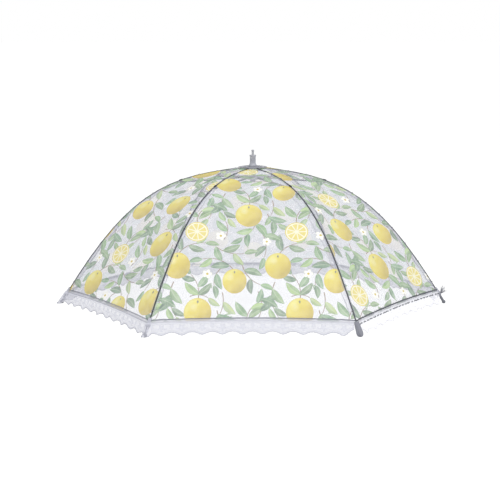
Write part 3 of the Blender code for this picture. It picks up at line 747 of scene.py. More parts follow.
def net_finish(inside=False):
    """The printed net: hexagons of white thread, their holes partly closed where ink lies. The ink is on
    its outer side. The inner side shows it pale, with a painted glow in place of the light that comes
    through."""
    finish = Finish("net_inner" if inside else "net_print", roughness=0.8)
    where = finish.uv("cloth")
    blotch = finish.noise(where, 95.0, 3.0, 0.55)
    grain = finish.noise(where, 620.0, 2.0, 0.6)
    colour, cover = NET_WHITE, 0.0
    for name, _, measure in PRINT_LAYERS:
        if measure is stem_at:
            colour, cover = stem_paint(finish, name, colour, cover, grain)
        elif measure is leaf_at:
            colour, cover = leaf_paint(finish, name, colour, cover, blotch, grain)
        else:
            colour, cover = fruit_paint(finish, name, colour, cover, blotch, grain)
    inked = finish.times(cover, finish.scaled(blotch, 0.3, 0.7, INK_COVER, INK_COVER - 0.1))
    edge = hexagon_edge(finish, where, NET_PITCH)
    thread = finish.smooth(edge, 0.5 - NET_THREAD_SHARE, 0.5 - NET_THREAD_SHARE / 3)
    if inside:
        pale = finish.mixed(INSIDE_SHARE, INSIDE_WHITE, colour)
        finish.set("Base Color", finish.mixed(cover, INSIDE_THREAD, pale))
        # Painted glow: the inner side gives off light of its own, more where ink lies, in place of light that
        # comes through the net
        finish.set("Emission Color", pale)
        light = finish.scaled(cover, 0.0, 1.0, THROUGH_LIGHT * THREAD_LIGHT_SHARE, THROUGH_LIGHT)
        finish.set("Emission Strength", light)
        clear = finish.times_plus(thread, THREAD_COVER * 0.8, FILM_COVER)
        finish.set("Alpha", finish.most(clear, finish.times(cover, INSIDE_COVER)))
        return finish.material
    finish.set("Base Color", colour)
    finish.set("Alpha", finish.most(finish.times_plus(thread, THREAD_COVER, FILM_COVER), inked))
    finish.bump(thread, 0.0001, 0.4)
    return finish.material


def lace_finish(name, ground, figure, shade):
    """Knitted lace: a net ground, a flower over each tooth and between them, a vine, a header and
    a beaded edge. The pattern is read in millimetres from the values stored on the lace."""
    finish = Finish(name, roughness=0.85)
    values, _ = finish.attribute("lace")
    beside, depth, left = finish.split(values)
    where = finish.uv("cloth")
    run, drop, _ = finish.split(where)

    def line(value, pitch, share):
        """Threads this far apart, across a value, that take up this share of it."""
        away = finish.math("PINGPONG", finish.math("DIVIDE", value, pitch), 0.5)
        return finish.rest(finish.smooth(away, share / 2 - 0.05, share / 2 + 0.05))

    def within(value, low, high, soft=0.12):
        above = finish.smooth(value, low - soft, low + soft)
        return finish.times(above, finish.rest(finish.smooth(value, high - soft, high + soft)))

    def either(*masks):
        total = masks[0]
        for mask in masks[1:]:
            total = finish.most(total, mask)
        return total

    def flower(across, down, radius, wave):
        """Petals with an outline, round an open middle."""
        x = finish.less(beside, across)
        y = finish.less(depth, down)
        far = finish.math("SQRT", finish.math("ADD", finish.times(x, x), finish.times(y, y)))
        petals = finish.math("COSINE", finish.times(finish.math("ARCTAN2", x, y), PETALS))
        inside = finish.less(finish.times_plus(petals, wave, radius), far)
        line_from, line_to = radius * 0.16, radius * 0.24
        slit = within(inside, line_from, line_to)
        solid = finish.times(finish.smooth(inside, -0.1, 0.1), finish.smooth(far, line_from, line_to))
        return finish.times(solid, finish.rest(slit)), slit

    half_pitch = TOOTH_PITCH * 1000 / 2  # in millimetres
    net_ground = either(line(finish.math("ADD", run, drop), 0.0017, 0.30),
                        line(finish.less(run, drop), 0.0017, 0.30))
    big, big_slit = flower(0.0, 9.4, 4.4, 1.5)
    small, small_slit = flower(half_pitch, 7.2, 2.9, 0.9)
    bend = finish.math("COSINE", finish.times(beside, math.pi / half_pitch))
    vine = within(finish.times_plus(bend, 1.9, finish.less(12.6, depth)), -0.38, 0.38)
    slant = finish.times_plus(finish.less(beside, half_pitch * 0.5), 0.7, finish.less(depth, 10.2))
    length = finish.times_plus(finish.less(depth, 10.2), -0.7, finish.less(beside, half_pitch * 0.5))
    wide, tall = finish.times(slant, slant), finish.times(finish.times(length, length), 0.13)
    oval = finish.math("SQRT", finish.times_plus(wide, 0.9, tall))
    leaf = finish.rest(finish.smooth(oval, 0.95, 1.15))
    header = either(within(depth, -2.0, 1.3), within(depth, 2.9, 3.5))
    ladder = finish.times(within(depth, 1.3, 2.9), line(run, 0.0021, 0.5))
    edge = either(within(left, -2.0, 0.8), within(left, 1.9, 2.5))
    beads = finish.times(within(left, 0.8, 1.9), line(run, 0.0016, 0.5))
    figures = either(big, small, vine, leaf, header, ladder, edge, beads)
    slits = either(big_slit, small_slit, within(left, 2.6, 3.0), within(depth, 3.6, 4.0))
    mask = either(net_ground, figures)
    knit = finish.wave(where, 900.0, 1.5, "DIAGONAL")
    colour = finish.mixed(finish.times(knit, 0.25), figure, ground)
    colour = finish.mixed(figures, ground, colour)
    finish.set("Base Color", finish.mixed(finish.times(slits, 0.8), colour, shade))
    finish.set("Alpha", finish.most(finish.times(mask, 0.92), finish.times_plus(slits, 0.5, 0.22)))
    # Painted glow: the lace gives off a little light of its own, in place of the light that comes through it
    finish.set("Emission Color", LACE_GLOW)
    finish.set("Emission Strength", LACE_THROUGH_LIGHT)
    finish.bump(finish.math("ADD", figures, finish.times(knit, 0.3)), 0.0002, 0.6)
    return finish.material


def woven_finish(name, colour, dark, alpha=1.0):
    """A plain woven tape or cloth."""
    finish = Finish(name, roughness=0.85)
    where = finish.uv("cloth")
    weave = finish.times(finish.wave(where, WEAVE_SCALE), finish.wave(where, WEAVE_SCALE, direction="Y"))
    cloud = finish.noise(where, 180.0, 3.0)
    shade = finish.mixed(finish.times_plus(weave, 0.5, finish.times(cloud, 0.5)), dark, colour)
    finish.set("Base Color", shade)
    if alpha < 1.0:
        finish.set("Alpha", finish.scaled(weave, 0.0, 1.0, alpha - 0.12, alpha + 0.12))
    finish.bump(weave, 0.0001, 0.5)
    return finish.material


def thread_finish(name, colour, dark):
    """Twisted thread or cord."""
    finish = Finish(name, roughness=0.75)
    twist = finish.wave(finish.place(), TWIST_SCALE, 2.0, "DIAGONAL")
    finish.set("Base Color", finish.mixed(twist, dark, colour))
    finish.bump(twist, 0.0001, 0.6)
    return finish.material


def steel_finish(name, colour, dark, roughness, metallic):
    """Drawn wire or strip, lightly scratched."""
    finish = Finish(name, metallic=metallic)
    where = finish.place()
    scratches = finish.noise(finish.vector("MULTIPLY", where, (60.0, 900.0, 900.0)), 4.0, 3.0, 0.6)
    patches = finish.noise(where, 70.0, 4.0, 0.6)
    finish.set("Base Color", finish.mixed(patches, dark, colour))
    finish.set("Roughness", finish.scaled(scratches, 0.25, 0.75, roughness - 0.1, roughness + 0.12))
    finish.bump(scratches, 0.00004, 0.3)
    return finish.material


def plastic_finish(name, colour, dark, roughness=0.42):
    """Moulded plastic with a fine orange peel and a little dust in patches."""
    finish = Finish(name)
    where = finish.place()
    peel = finish.noise(where, 1500.0, 2.0)
    patches = finish.noise(where, 130.0, 4.0, 0.6)
    finish.set("Base Color", finish.mixed(finish.scaled(patches, 0.35, 0.7, 0.0, 1.0), dark, colour))
    finish.set("Roughness", finish.scaled(patches, 0.3, 0.7, roughness - 0.06, roughness + 0.1))
    finish.bump(peel, 0.00006, 0.35)
    return finish.material


# Meshes

def rib_of(sector, side):
    return sector if side == "left" else sector % RIB_COUNT + 1


def rib_turned(rib):
    """The matrix that turns the X axis to a rib."""
    turn = math.radians((rib - 1) * SECTOR)
    return np.array([[math.cos(turn), -math.sin(turn), 0], [math.sin(turn), math.cos(turn), 0], [0, 0, 1]])


def eased(share):
    return share * share * (3 - 2 * share)


def body_names(sector, side):
    """The rib arm and the flap that half a sector bends between."""
    return f"rib_arm_{rib_of(sector, side)}", f"flap_{sector}_{side}"


def side_sign(side):
    return -1.0 if side == "left" else 1.0


def new_object(name, data):
    made = bpy.data.objects.new(name, data)
    bpy.context.scene.collection.objects.link(made)
    return made


def new_piece(name, mesh, material):
    piece = new_object(name, mesh)
    mesh.materials.append(material)
    mesh.shade_smooth()
    return piece


def bend_with(piece):
    """The piece, with its place baked into its mesh."""
    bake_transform(piece)


def grid_faces(rows, columns):
    """Corner numbers of a grid's faces, row by row."""
    start = (np.arange(rows)[:, None] * (columns + 1) + np.arange(columns)).reshape(-1, 1)
    return start + np.array([0, columns + 1, columns + 2, 1])


def ring_faces(rows, sides):
    """Corner numbers of the faces between closed rings of points."""
    start = np.arange(rows)[:, None] * sides
    here, following = np.arange(sides), (np.arange(sides) + 1) % sides
    faces = [start + here, start + sides + here, start + sides + following, start + following]
    return np.stack(faces, axis=-1).reshape(-1, 4)


def mesh_from(name, points, faces, flat=None):
    """A mesh of these points and four-cornered faces, with its flat places in metres as a UV map."""
    mesh = bpy.data.meshes.new(name)
    mesh.from_pydata(points.reshape(-1, 3).tolist(), [], faces.tolist())
    if flat is not None:
        layer = mesh.uv_layers.new(name="cloth")
        layer.data.foreach_set("uv", flat.reshape(-1, 2)[faces.ravel()].astype(np.float32).ravel())
    return mesh


def store(mesh, name, values):
    """Stores four values on each of the mesh's points."""
    layer = mesh.attributes.new(name, "FLOAT_COLOR", "POINT")
    layer.data.foreach_set("color", values.astype(np.float32).ravel())


def half_across(side, columns):
    """Shares across half a sector, from left to right."""
    shares = np.linspace(0, 1, columns + 1)
    return shares - 1 if side == "left" else shares


def make_gore(sector, side):
    """Half a sector of net, with the print's layers stored on its points."""
    across, down = np.meshgrid(half_across(side, GORE_COLUMNS), np.linspace(0, 1, GORE_ROWS + 1))
    points = cloth_point(sector, across, down)
    share = cloth_share(across, down)
    flat = np.stack([cloth_run(across, down), np.interp(share, SHARES, LENGTHS)], axis=-1)
    mesh = mesh_from(f"net_{sector}_{side}", points, grid_faces(GORE_ROWS, GORE_COLUMNS), flat)
    cut = np.array(CUT_SHARES[sector - 1]) * (PRINT_WIDTH, PRINT_HEIGHT)
    printed = flat.reshape(-1, 2) / (PRINT_STRETCH[sector - 1], 1.0) + cut
    for name, motifs, measure in PRINT_LAYERS:
        store(mesh, name, owned(printed, motifs, measure))
    gore = new_piece(f"net_{sector}_{side}", mesh, net)
    mesh.materials.append(net_inner)
    inner = gore.modifiers.new("inner side", "SOLIDIFY")
    inner.thickness = NET_THICKNESS
    inner.offset = -1.0
    inner.use_rim = False
    inner.material_offset = 1
    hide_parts(f"gore_{sector}_{side}")
    bend_with(gore)
    return gore


def hem_frame(sector, across):
    """Points along the hem and the way down that its lace hangs."""
    turn = math.radians((sector - 0.5) * SECTOR)
    fall = math.radians(LACE_FALL_ANGLE)
    out = np.array([math.cos(turn), math.sin(turn), 0.0])
    down = out * math.cos(fall) - np.array([0, 0, 1]) * math.sin(fall)
    outward = out * math.sin(fall) + np.array([0, 0, 1]) * math.cos(fall)
    return cloth_point(sector, across, np.ones_like(across)), down, outward


def lace_depth(turns):
    """The lace's depth where this many teeth have passed."""
    tooth = np.abs(np.sin(math.pi * turns)) ** (2 * TOOTH_POINT)
    picot = PICOT_DEPTH * (1 - np.abs(np.sin(math.pi * PICOTS * turns)))
    return LACE_DEPTH - TOOTH_DEPTH * (1 - tooth) - picot


def lace_drawn_up(sector, side, across):
    """Share of the lace's depth left where it is drawn up beside a bare tip."""
    if rib_of(sector, side) not in BARE_RIBS:
        return np.ones_like(across)
    return 1 - DRAWN_UP * eased(np.clip((np.abs(across) - DRAWN_FROM) / (1 - DRAWN_FROM), 0, 1))


def ruffled(turns, depth, seed):
    """How far the lace waves out and in."""
    wide = np.sin(2 * math.pi * (turns * 0.62 + seed * 0.37))
    narrow = 0.6 * np.sin(2 * math.pi * (turns * 1.37 + seed * 0.71))
    return RUFFLE * (depth / LACE_DEPTH) * (wide + narrow)


def lace_points(sector, across, depth):
    """Points of a sector's lace: across as on the net, depth below the hem's edge."""
    edge, down_way, outward = hem_frame(sector, across)
    lift = ruffled(across * TEETH, depth, sector) + TAPE_LIFT * 2.2
    points = edge + (depth - LACE_OVERLAP)[..., None] * down_way + lift[..., None] * outward
    points[..., 2] = np.maximum(points[..., 2], FLOOR_CLEARANCE)
    return points


def store_lace(mesh, turns, depth, full):
    """Millimetres from the nearest tooth's middle, from the hem, and from the lower edge."""
    beside = np.abs(turns % 1.0 - 0.5) * TOOTH_PITCH
    store(mesh, "lace", together(beside, depth, full - depth, 0) * 1000)


def make_lace(sector, side):
    """Half a sector's lace, toothed along its lower edge, with a corded edge."""
    columns = TEETH * LACE_COLUMNS
    across = half_across(side, columns) * LACE_REACH
    turns = np.abs(across) / LACE_REACH * TEETH
    full = (lace_depth(turns) * lace_drawn_up(sector, side, across))[None, :]
    depth = np.linspace(0, 1, LACE_ROWS + 1)[:, None] * full
    points = lace_points(sector, across, depth)
    flat = together(across[None] * HEM_HALF, depth)
    mesh = mesh_from(f"trim_{sector}_{side}", points, grid_faces(LACE_ROWS, columns), flat)
    store_lace(mesh, turns, depth, full)
    # In the bright sector the lace and its edge cord are painted lit, whiter than the same lace elsewhere
    bright = sector == BRIGHT_SECTOR
    lace = new_piece(f"trim_{sector}_{side}", mesh, lace_painted_lit if bright else lace_white)
    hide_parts(f"lace_{sector}_{side}")
    bend_with(lace)
    cord = mesh_from("trim_edge", *tube(points[-1], LACE_EDGE_RADIUS))
    thread = pale_and_painted_lit_thread if bright else edge_thread
    cord = new_piece(f"trim_edge_{sector}_{side}", cord, thread)
    bend_with(cord)
    return lace, cord


def hem_profile():
    """The hem tape's section: (metres above the hem's edge, metres outward)."""
    lift, width = TAPE_LIFT, TAPE_WIDTH
    return [(width, lift), (width * 0.97, lift * 1.5), (width / 2, lift * 1.6), (0.0003, lift * 1.5),
            (-0.0003, lift * 0.8), (-0.0004, 0.0)]


def make_tape(sector, side):
    """The tape sewn over the net's edge along half a hem."""
    across = half_across(side, HEM_COLUMNS)
    section = hem_profile()
    rows, flat = [], []
    for n, (above, out) in enumerate(section):
        down = np.full_like(across, 1 - above / GORE_LENGTH)
        rows.append(cloth_point(sector, across, down, out))
        flat.append(np.stack([across * HEM_HALF, np.full_like(across, n * TAPE_WIDTH / 4)], axis=-1))
    mesh = mesh_from("hem_tape", np.array(rows), grid_faces(len(section) - 1, HEM_COLUMNS), np.array(flat))
    tape = new_piece(f"hem_tape_{sector}_{side}", mesh, tape_cloth)
    bend_with(tape)
    return tape


def tube(points, radius, sides=5):
    """Points and faces of a round tube along a line of points, left open at its ends."""
    ahead = np.gradient(points, axis=0)
    ahead = ahead / np.linalg.norm(ahead, axis=1, keepdims=True)
    up = np.array([0.0, 0.0, 1.0]) + 0.001
    one = np.cross(ahead, up)
    one = one / np.linalg.norm(one, axis=1, keepdims=True)
    other = np.cross(ahead, one)
    turns = np.arange(sides) * 2 * math.pi / sides
    ring = one[:, None] * np.cos(turns)[None, :, None] + other[:, None] * np.sin(turns)[None, :, None]
    placed = points[:, None] + ring * np.asarray(radius).reshape(-1, 1, 1)
    return placed.reshape(-1, 3), ring_faces(len(points) - 1, sides)


def joined(parts):
    """Several (points, faces) as one."""
    points, faces, count = [], [], 0
    for some_points, some_faces in parts:
        points.append(some_points)
        faces.append(some_faces + count)
        count += len(some_points)
    return np.concatenate(points), np.concatenate(faces)


def make_cord(sector, side):
    """The cord sewn along the hem tape, the stitches below it, and in the bright sector a row of
    long stitches over the lace."""
    bright = sector == BRIGHT_SECTOR
    across = half_across(side, HEM_COLUMNS * 3)
    wander = 0.0
    if bright:
        run = across * HEM_HALF
        wander = 0.0003 * np.sin(run * 2 * math.pi / 0.009) + 0.0002 * np.sin(run * 2 * math.pi / 0.0041)
    upper = cloth_point(sector, across, 1 + (wander - TAPE_WIDTH) / GORE_LENGTH, TAPE_LIFT * 2.6)
    lower = cloth_point(sector, across, 1.0, TAPE_LIFT * 2.6)
    dark, pale = ([], []), ([], [])

    def add(to, line, radius, shares, sides=5):
        to[0].append(tube(line, radius, sides))
        to[1].append(np.repeat(1 - np.abs(shares), sides))

    add(dark, upper, DARK_CORD_RADIUS if bright else CORD_RADIUS, across, 6)
    add(dark if sector == LINED_SECTOR else pale, lower, HEM_LINE_RADIUS, across)
    inner = cloth_point(sector, across, 1 - TAPE_WIDTH / GORE_LENGTH, -NET_THICKNESS - HEM_INSIDE_RADIUS)
    add(dark, inner, HEM_INSIDE_RADIUS, across)
    count = int(HEM_HALF / STITCH_PITCH)
    for n in range(count):
        middle = (n + 0.5) / count
        reach = STITCH_LENGTH / 2 / HEM_HALF
        stitch = np.linspace(middle - reach, middle + reach, 5) * side_sign(side)
        down = np.full(5, 1 - TAPE_WIDTH * 0.3 / GORE_LENGTH)
        arch = TAPE_LIFT * 1.7 + STITCH_RADIUS * np.array([-0.8, 0.6, 1.0, 0.6, -0.8])
        add(pale, cloth_point(sector, stitch, down, arch), STITCH_RADIUS, stitch, 4)
    for n in range(LONG_STITCHES if bright else 0):
        middle = (n + 0.5) / LONG_STITCHES + 0.006 * math.sin(n * 2.3)
        reach = (0.30 + 0.09 * math.sin(n * 1.7)) / LONG_STITCHES
        stitch = np.linspace(max(0.0, middle - reach), min(0.985, middle + reach), 9) * side_sign(side)
        edge, down_way, outward = hem_frame(sector, stitch)
        sway = 0.0004 * np.sin(np.linspace(-math.pi, math.pi, 9) + n)
        row = edge + (LONG_STITCH_DROP + sway)[:, None] * down_way + TAPE_LIFT * 3.6 * outward
        add(dark, row, DARK_CORD_RADIUS * 0.8, stitch, 6)
    made = []
    for name, (tubes, shares), thread in (("hem_cord", dark, hem_dark if bright else hem_thread),
                                          ("hem_stitches", pale, pale_and_painted_lit_thread)):
        piece = new_piece(f"{name}_{sector}_{side}", mesh_from(name, *joined(tubes)), thread)
        bend_with(piece)
        made.append(piece)
    return made


def make_casing(sector, side):
    """The net's turned edge beside the rib, and the seam allowance that hangs inside from it."""
    sign = side_sign(side)
    width = CASING_WIDTHS.get((sector, side), CASING_WIDTH)
    clip = float(np.interp(JOINT_RADIUS, RADII, SHARES))
    parts, edges = [], []
    top, bottom = CASING_SHARES
    for low, high in ((top, clip - CASING_CLIP_ROOM), (clip + CASING_CLIP_ROOM, bottom)):
        line = np.linspace(low, high, CASING_ROWS)
        down = (line - START_SHARE) / (1 - START_SHARE)
        ends = np.clip(np.minimum(line - low, high - line) / 0.03, 0, 1) ** 0.5
        wave = 1 + 0.16 * np.sin(line * 31 + sector * 1.3 + sign) + 0.09 * np.sin(line * 73 + sector)
        hang = width * wave * ends
        section = [(0.0026, 0.00015), (0.0013, 0.0003), (0.0, 0.0001), (-0.0001, -0.0008)]
        section += [(0.0004 + 0.62 * hang * s, -0.0010 - 0.80 * hang * s**1.3) for s in (0.33, 0.66, 1.0)]
        columns, flat = [], []
        radius = rib_point(cloth_share(1.0, down))[:, 0]
        for number, (inward, drop) in enumerate(section):
            across = sign * (1 - inward / (radius * math.sin(HALF) - SEAM_GAP))
            columns.append(cloth_point(sector, across, down, drop))
            flat.append(np.stack([np.full_like(down, number * 0.002), down * GORE_LENGTH], axis=-1))
        parts.append((np.array(columns), np.array(flat)))
        edges.append(tube(columns[-1], CASING_EDGE_RADIUS))
    faces = grid_faces(len(section) - 1, CASING_ROWS - 1)
    points = np.concatenate([part[0].reshape(-1, 3) for part in parts])
    flat = np.concatenate([part[1].reshape(-1, 2) for part in parts])
    faces = np.concatenate([faces, faces + len(section) * CASING_ROWS])
    mesh = mesh_from("seam", points, faces, flat)
    seam = new_piece(f"seam_{sector}_{side}", mesh, seam_cloth)
    mesh = mesh_from("seam_edge", *joined(edges))
    overlock = new_piece(f"seam_edge_{sector}_{side}", mesh, hem_thread)
    for piece in (seam, overlock):
        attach(piece, body_names(sector, side)[0])
    return seam, overlock


def rib_ties(rib):
    """Loops of thread that hold both sectors of net to their rib."""
    rotate = rib_turned(rib)
    parts = []
    for share in np.linspace(*TIE_SHARES, TIES):
        middle, outward = rib_point(share), rib_outward(share)
        if abs(middle[0] - JOINT_RADIUS) < TIE_CLIP_ROOM:
            continue
        along_rib = np.array([outward[1], 0.0, -outward[0]])
        up = np.array([outward[0], 0.0, outward[1]])
        turns = np.linspace(0, 4 * math.pi, 33)
        place = np.array([middle[0], 0.0, middle[1]]) + along_rib * (turns[:, None] / math.pi - 2) * 0.0003
        loop = np.cos(turns)[:, None] * up + 1.15 * np.sin(turns)[:, None] * np.array([0.0, 1.0, 0.0])
        parts.append(tube(place + TIE_RADIUS * loop, TIE_THREAD_RADIUS))
    points, faces = joined(parts)
    mesh = mesh_from("rib_ties", points @ rotate.T, faces)
    ties = new_piece(f"rib_ties_{rib}", mesh, seam_thread)
    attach(ties, f"rib_arm_{rib}")


def make_cap():
    """The round patch at the top, with its edge standing proud and stitched round."""
    turns = np.linspace(0, 2 * math.pi, CAP_STEPS + 1)[:-1]
    _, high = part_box("top_cloth_cap")
    inner, outer, top = CAP_HOLE, float(high.x), float(high.z)
    share = np.linspace(0, 1, CAP_RINGS + 1)[:, None]
    radius = inner + (outer - inner) * share
    wave = np.sin(turns * 11 + 0.5)[None] * 0.00025 + np.sin(turns * 5)[None] * 0.0002
    slope = np.clip((radius - HUB_RADIUS) / (outer - HUB_RADIUS), 0, 1)
    height = top - CAP_FALL * slope + share**3 * wave + CAP_CURL * np.clip((share - 0.88) / 0.12, 0, 1) ** 2
    radius = radius * (1 + 0.012 * share**3 * np.sin(turns * 7)[None])
    points = together(radius * np.cos(turns), radius * np.sin(turns), height)
    mesh = mesh_from("crown_patch", points, ring_faces(CAP_RINGS, CAP_STEPS), points[..., :2])
    cap = new_piece("crown_patch", mesh, cap_cloth)
    thick = cap.modifiers.new("thickness", "SOLIDIFY")
    thick.thickness = CAP_THICKNESS
    thick.offset = -1.0
    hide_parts("top_cloth_cap")
    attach(cap, "crown")
    parts = []
    radius = outer * 0.9
    height = top - CAP_FALL * 0.55 + 0.0001 + 0.00018 * np.array([-1.5, 0.6, 1.0, 0.6, -1.5])
    for n in range(CAP_STITCHES):
        stitch = 2 * math.pi * n / CAP_STITCHES + np.linspace(-0.045, 0.045, 5)
        line = together(radius * np.cos(stitch), radius * np.sin(stitch), height)
        parts.append(tube(line, CAP_STITCH_RADIUS, 4))
    ring = new_piece("crown_stitches", mesh_from("crown_stitches", *joined(parts)), seam_thread)
    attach(ring, "crown")


def corner_axes(rib):
    """Where a rib ends at the rim, the way its tip points, the way square to that and out, and its side."""
    rotate = rib_turned(rib)
    way = along(RIB_END_ANGLE)
    axes = [(RIM_RADIUS, 0, RIM_HEIGHT), (way[0], 0, way[1]), (-way[1], 0, way[0]), (0.0, 1.0, 0.0)]
    return [rotate @ np.array(axis) for axis in axes]


def make_tie(rib):
    """The thread that whips the net's corner to the tip, with its loose ends."""
    rim, axis, up, side = corner_axes(rib)
    turns = np.linspace(0, 2 * math.pi * WHIP_LAPS, WHIP_LAPS * 16 + 1)
    far = 0.0018 + 0.0006 * turns / (2 * math.pi)
    radius = TIP_MOUTH_RADIUS + 0.0004
    coil = rim + far[:, None] * axis + radius * (np.cos(turns)[:, None] * up + np.sin(turns)[:, None] * side)
    parts = [tube(coil, WHIP_RADIUS)]
    rng = np.random.default_rng(rib)
    for _ in range(FRAYS.get(rib, 0)):
        lean, bow, length = rng.uniform(-1.1, 1.1), rng.uniform(-0.5, 0.5), rng.uniform(0.006, 0.0150)
        share = np.linspace(0, 1, 9)[:, None]
        way_out = -axis * rng.uniform(-0.2, 0.9) + up * math.cos(lean) + side * math.sin(lean)
        bend = side * bow * share**2 + axis * rng.uniform(-0.4, 0.3) * share**2
        line = rim + axis * 0.003 + up * radius * 0.8 + (way_out * share + bend) * length
        parts.append(tube(line, TIE_THREAD_RADIUS * (1 - 0.5 * share[:, 0]), 4))
    tie = new_piece(f"corner_tie_{rib}", mesh_from("corner_tie", *joined(parts)), seam_thread)
    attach(tie, f"rib_arm_{rib}")


def make_pocket(rib):
    """The folded corner of hem tape that is wrapped over the rib's end, with gathers. Where it covers
    the tip it is long, and its end is round."""
    long = rib == POCKET_RIB
    first, last, first_radius, last_radius, closing = LONG_POCKET if long else SHORT_POCKET
    rim, axis, up, side = corner_axes(rib)
    share = np.linspace(0, 1, POCKET_ROWS + 1)[:, None]
    around = np.linspace(-1, 1, POCKET_STEPS + 1)[None, :]
    turn = math.radians(POCKET_REACH) * around
    radius = first_radius + (last_radius - first_radius) * share**0.8
    radius = radius + POCKET_GATHER_DEPTH * share * np.sin(POCKET_GATHERS * turn + rib)
    closed = np.clip((share - closing) / (1.001 - closing), 0, 0.97)
    radius = radius * np.sqrt(1 - closed**2)
    far = first + (last - first) * share + 0 * around
    points = (rim + far[..., None] * axis + (radius * np.cos(turn))[..., None] * up
              + (radius * np.sin(turn))[..., None] * side)
    points[..., 2] = np.maximum(points[..., 2], FLOOR_CLEARANCE)
    flat = together(around * 0.009, share * 0.022)
    mesh = mesh_from("pocket", points, grid_faces(POCKET_ROWS, POCKET_STEPS), flat)
    pocket = new_piece(f"corner_pocket_{rib}", mesh, pocket_cloth if long else corner_cloth)
    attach(pocket, f"rib_arm_{rib}")


def make_corner_lace(rib):
    """Lace carried round the outside of a tip, in gathers, from one sector's lace to the next one's."""
    share = np.linspace(0, 1, LACE_COLUMNS * CORNER_TEETH + 1)
    turns = share * CORNER_TEETH
    full = lace_depth(turns)[None, :] + TOOTH_DEPTH * np.sin(math.pi * share) ** 0.5
    depth = np.linspace(0, 1, LACE_ROWS + 1)[:, None] * full
    before = (rib - 2) % RIB_COUNT + 1
    first = lace_points(before, np.array([LACE_REACH]), depth)
    last = lace_points(rib, np.array([-LACE_REACH]), depth)
    hung = depth / LACE_DEPTH
    bulge = (CORNER_OUT[0] + (CORNER_OUT[1] - CORNER_OUT[0]) * hung) * np.sin(math.pi * share) ** 0.7
    bulge = bulge + CORNER_GATHER_DEPTH * hung * np.sin(2 * math.pi * CORNER_GATHERS * share)
    turn = math.radians((rib - 1) * SECTOR)
    way_out = np.array([math.cos(turn), math.sin(turn), 0.0])
    points = first * (1 - share)[:, None] + last * share[:, None] + bulge[..., None] * way_out
    flat = together(share * CORNER_TEETH * TOOTH_PITCH, depth)
    mesh = mesh_from("corner_lace", points, grid_faces(LACE_ROWS, len(share) - 1), flat)
    store_lace(mesh, turns, depth, full)
    cord = mesh_from("corner_lace_edge", *tube(points[-1], LACE_EDGE_RADIUS))
    for piece in (new_piece(f"corner_lace_{rib}", mesh, lace_white),
                  new_piece(f"corner_lace_edge_{rib}", cord, edge_thread)):
        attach(piece, f"rib_arm_{rib}")


def make_half(sector, side):
    """All the cloth of half a sector: its net and its trim."""
    gore = make_gore(sector, side)
    trim = [*make_lace(sector, side), make_tape(sector, side)]
    trim += [*make_cord(sector, side), *make_casing(sector, side)]


def dress(material, *prefixes):
    """Gives a finish to the frame's own nodes whose names start so."""
    for name, node in frame["nodes"].items():
        if name.startswith(prefixes):
            for place in node.material_slots:
                place.material = material


# Camera, light and floor

CAMERA_DISTANCE = 2.363  # to the middle of the rim
CAMERA_ELEVATION = 10.0
RIM_PIXEL = (252.8, 292.6)  # where the rim's middle shows in the photograph's frame
FRAME_PIXELS = 500.0
FOCAL_PIXELS = 1435.0
SENSOR = 36.0
AMBIENT = 0.36
# Name, place, width in metres and power in watts
LAMPS = [("key", (1.6, -1.9, 2.0), 1.4, 53.0), ("fill", (-2.2, -1.4, 1.6), 2.0, 28.0)]
LAMP_TARGET = (0, 0, 0.1)
FLOOR_SIZE = 600.0
FLOOR_GLOW = 0.90
FLOOR_BOUNCE = 0.40


def make_camera():
    data = bpy.data.cameras.new("camera")
    data.sensor_width = SENSOR
    data.lens = FOCAL_PIXELS / FRAME_PIXELS * SENSOR
    camera = new_object("camera", data)
    rise = math.radians(CAMERA_ELEVATION)
    back = Vector((0, -math.cos(rise), math.sin(rise)))
    camera.location = Vector((0, 0, RIM_HEIGHT)) + back * CAMERA_DISTANCE
    pitch = rise - math.atan((RIM_PIXEL[1] - FRAME_PIXELS / 2) / FOCAL_PIXELS)
    yaw = math.atan((RIM_PIXEL[0] - FRAME_PIXELS / 2) / FOCAL_PIXELS)
    camera.rotation_euler = (math.radians(90) - pitch, 0, yaw)
    bpy.context.scene.camera = camera


def light_path(tree):
    """1 for rays from the camera and for those that show it the background in gloss or glass."""
    path = tree.nodes.new("ShaderNodeLightPath")
    total = path.outputs["Is Camera Ray"]
    for name in ("Is Glossy Ray", "Is Transmission Ray"):
        add = tree.nodes.new("ShaderNodeMath")
        add.operation = "MAXIMUM"
        tree.links.new(total, add.inputs[0])
        tree.links.new(path.outputs[name], add.inputs[1])
        total = add.outputs[0]
    return total


def level_by_ray(tree, others, seen):
    """One strength for the rays that show a thing, and another for those that it lights with."""
    level = tree.nodes.new("ShaderNodeMapRange")
    tree.links.new(light_path(tree), level.inputs["Value"])
    level.inputs["To Min"].default_value = others
    level.inputs["To Max"].default_value = seen
    return level.outputs[0]


def make_world():
    world = bpy.data.worlds.new("white")
    bpy.context.scene.world = world
    world.use_nodes = True
    tree = world.node_tree
    background = tree.nodes["Background"]
    background.inputs["Color"].default_value = (1.0, 1.0, 1.0, 1.0)
    tree.links.new(level_by_ray(tree, AMBIENT, 1.0), background.inputs["Strength"])


def make_lamp(name, place, size, power):
    data = bpy.data.lights.new(name, "AREA")
    data.shape = "DISK"
    data.size = size
    data.energy = power
    lamp = new_object(name, data)
    lamp.location = place
    lamp.rotation_euler = (Vector(LAMP_TARGET) - Vector(place)).to_track_quat("-Z", "Y").to_euler()


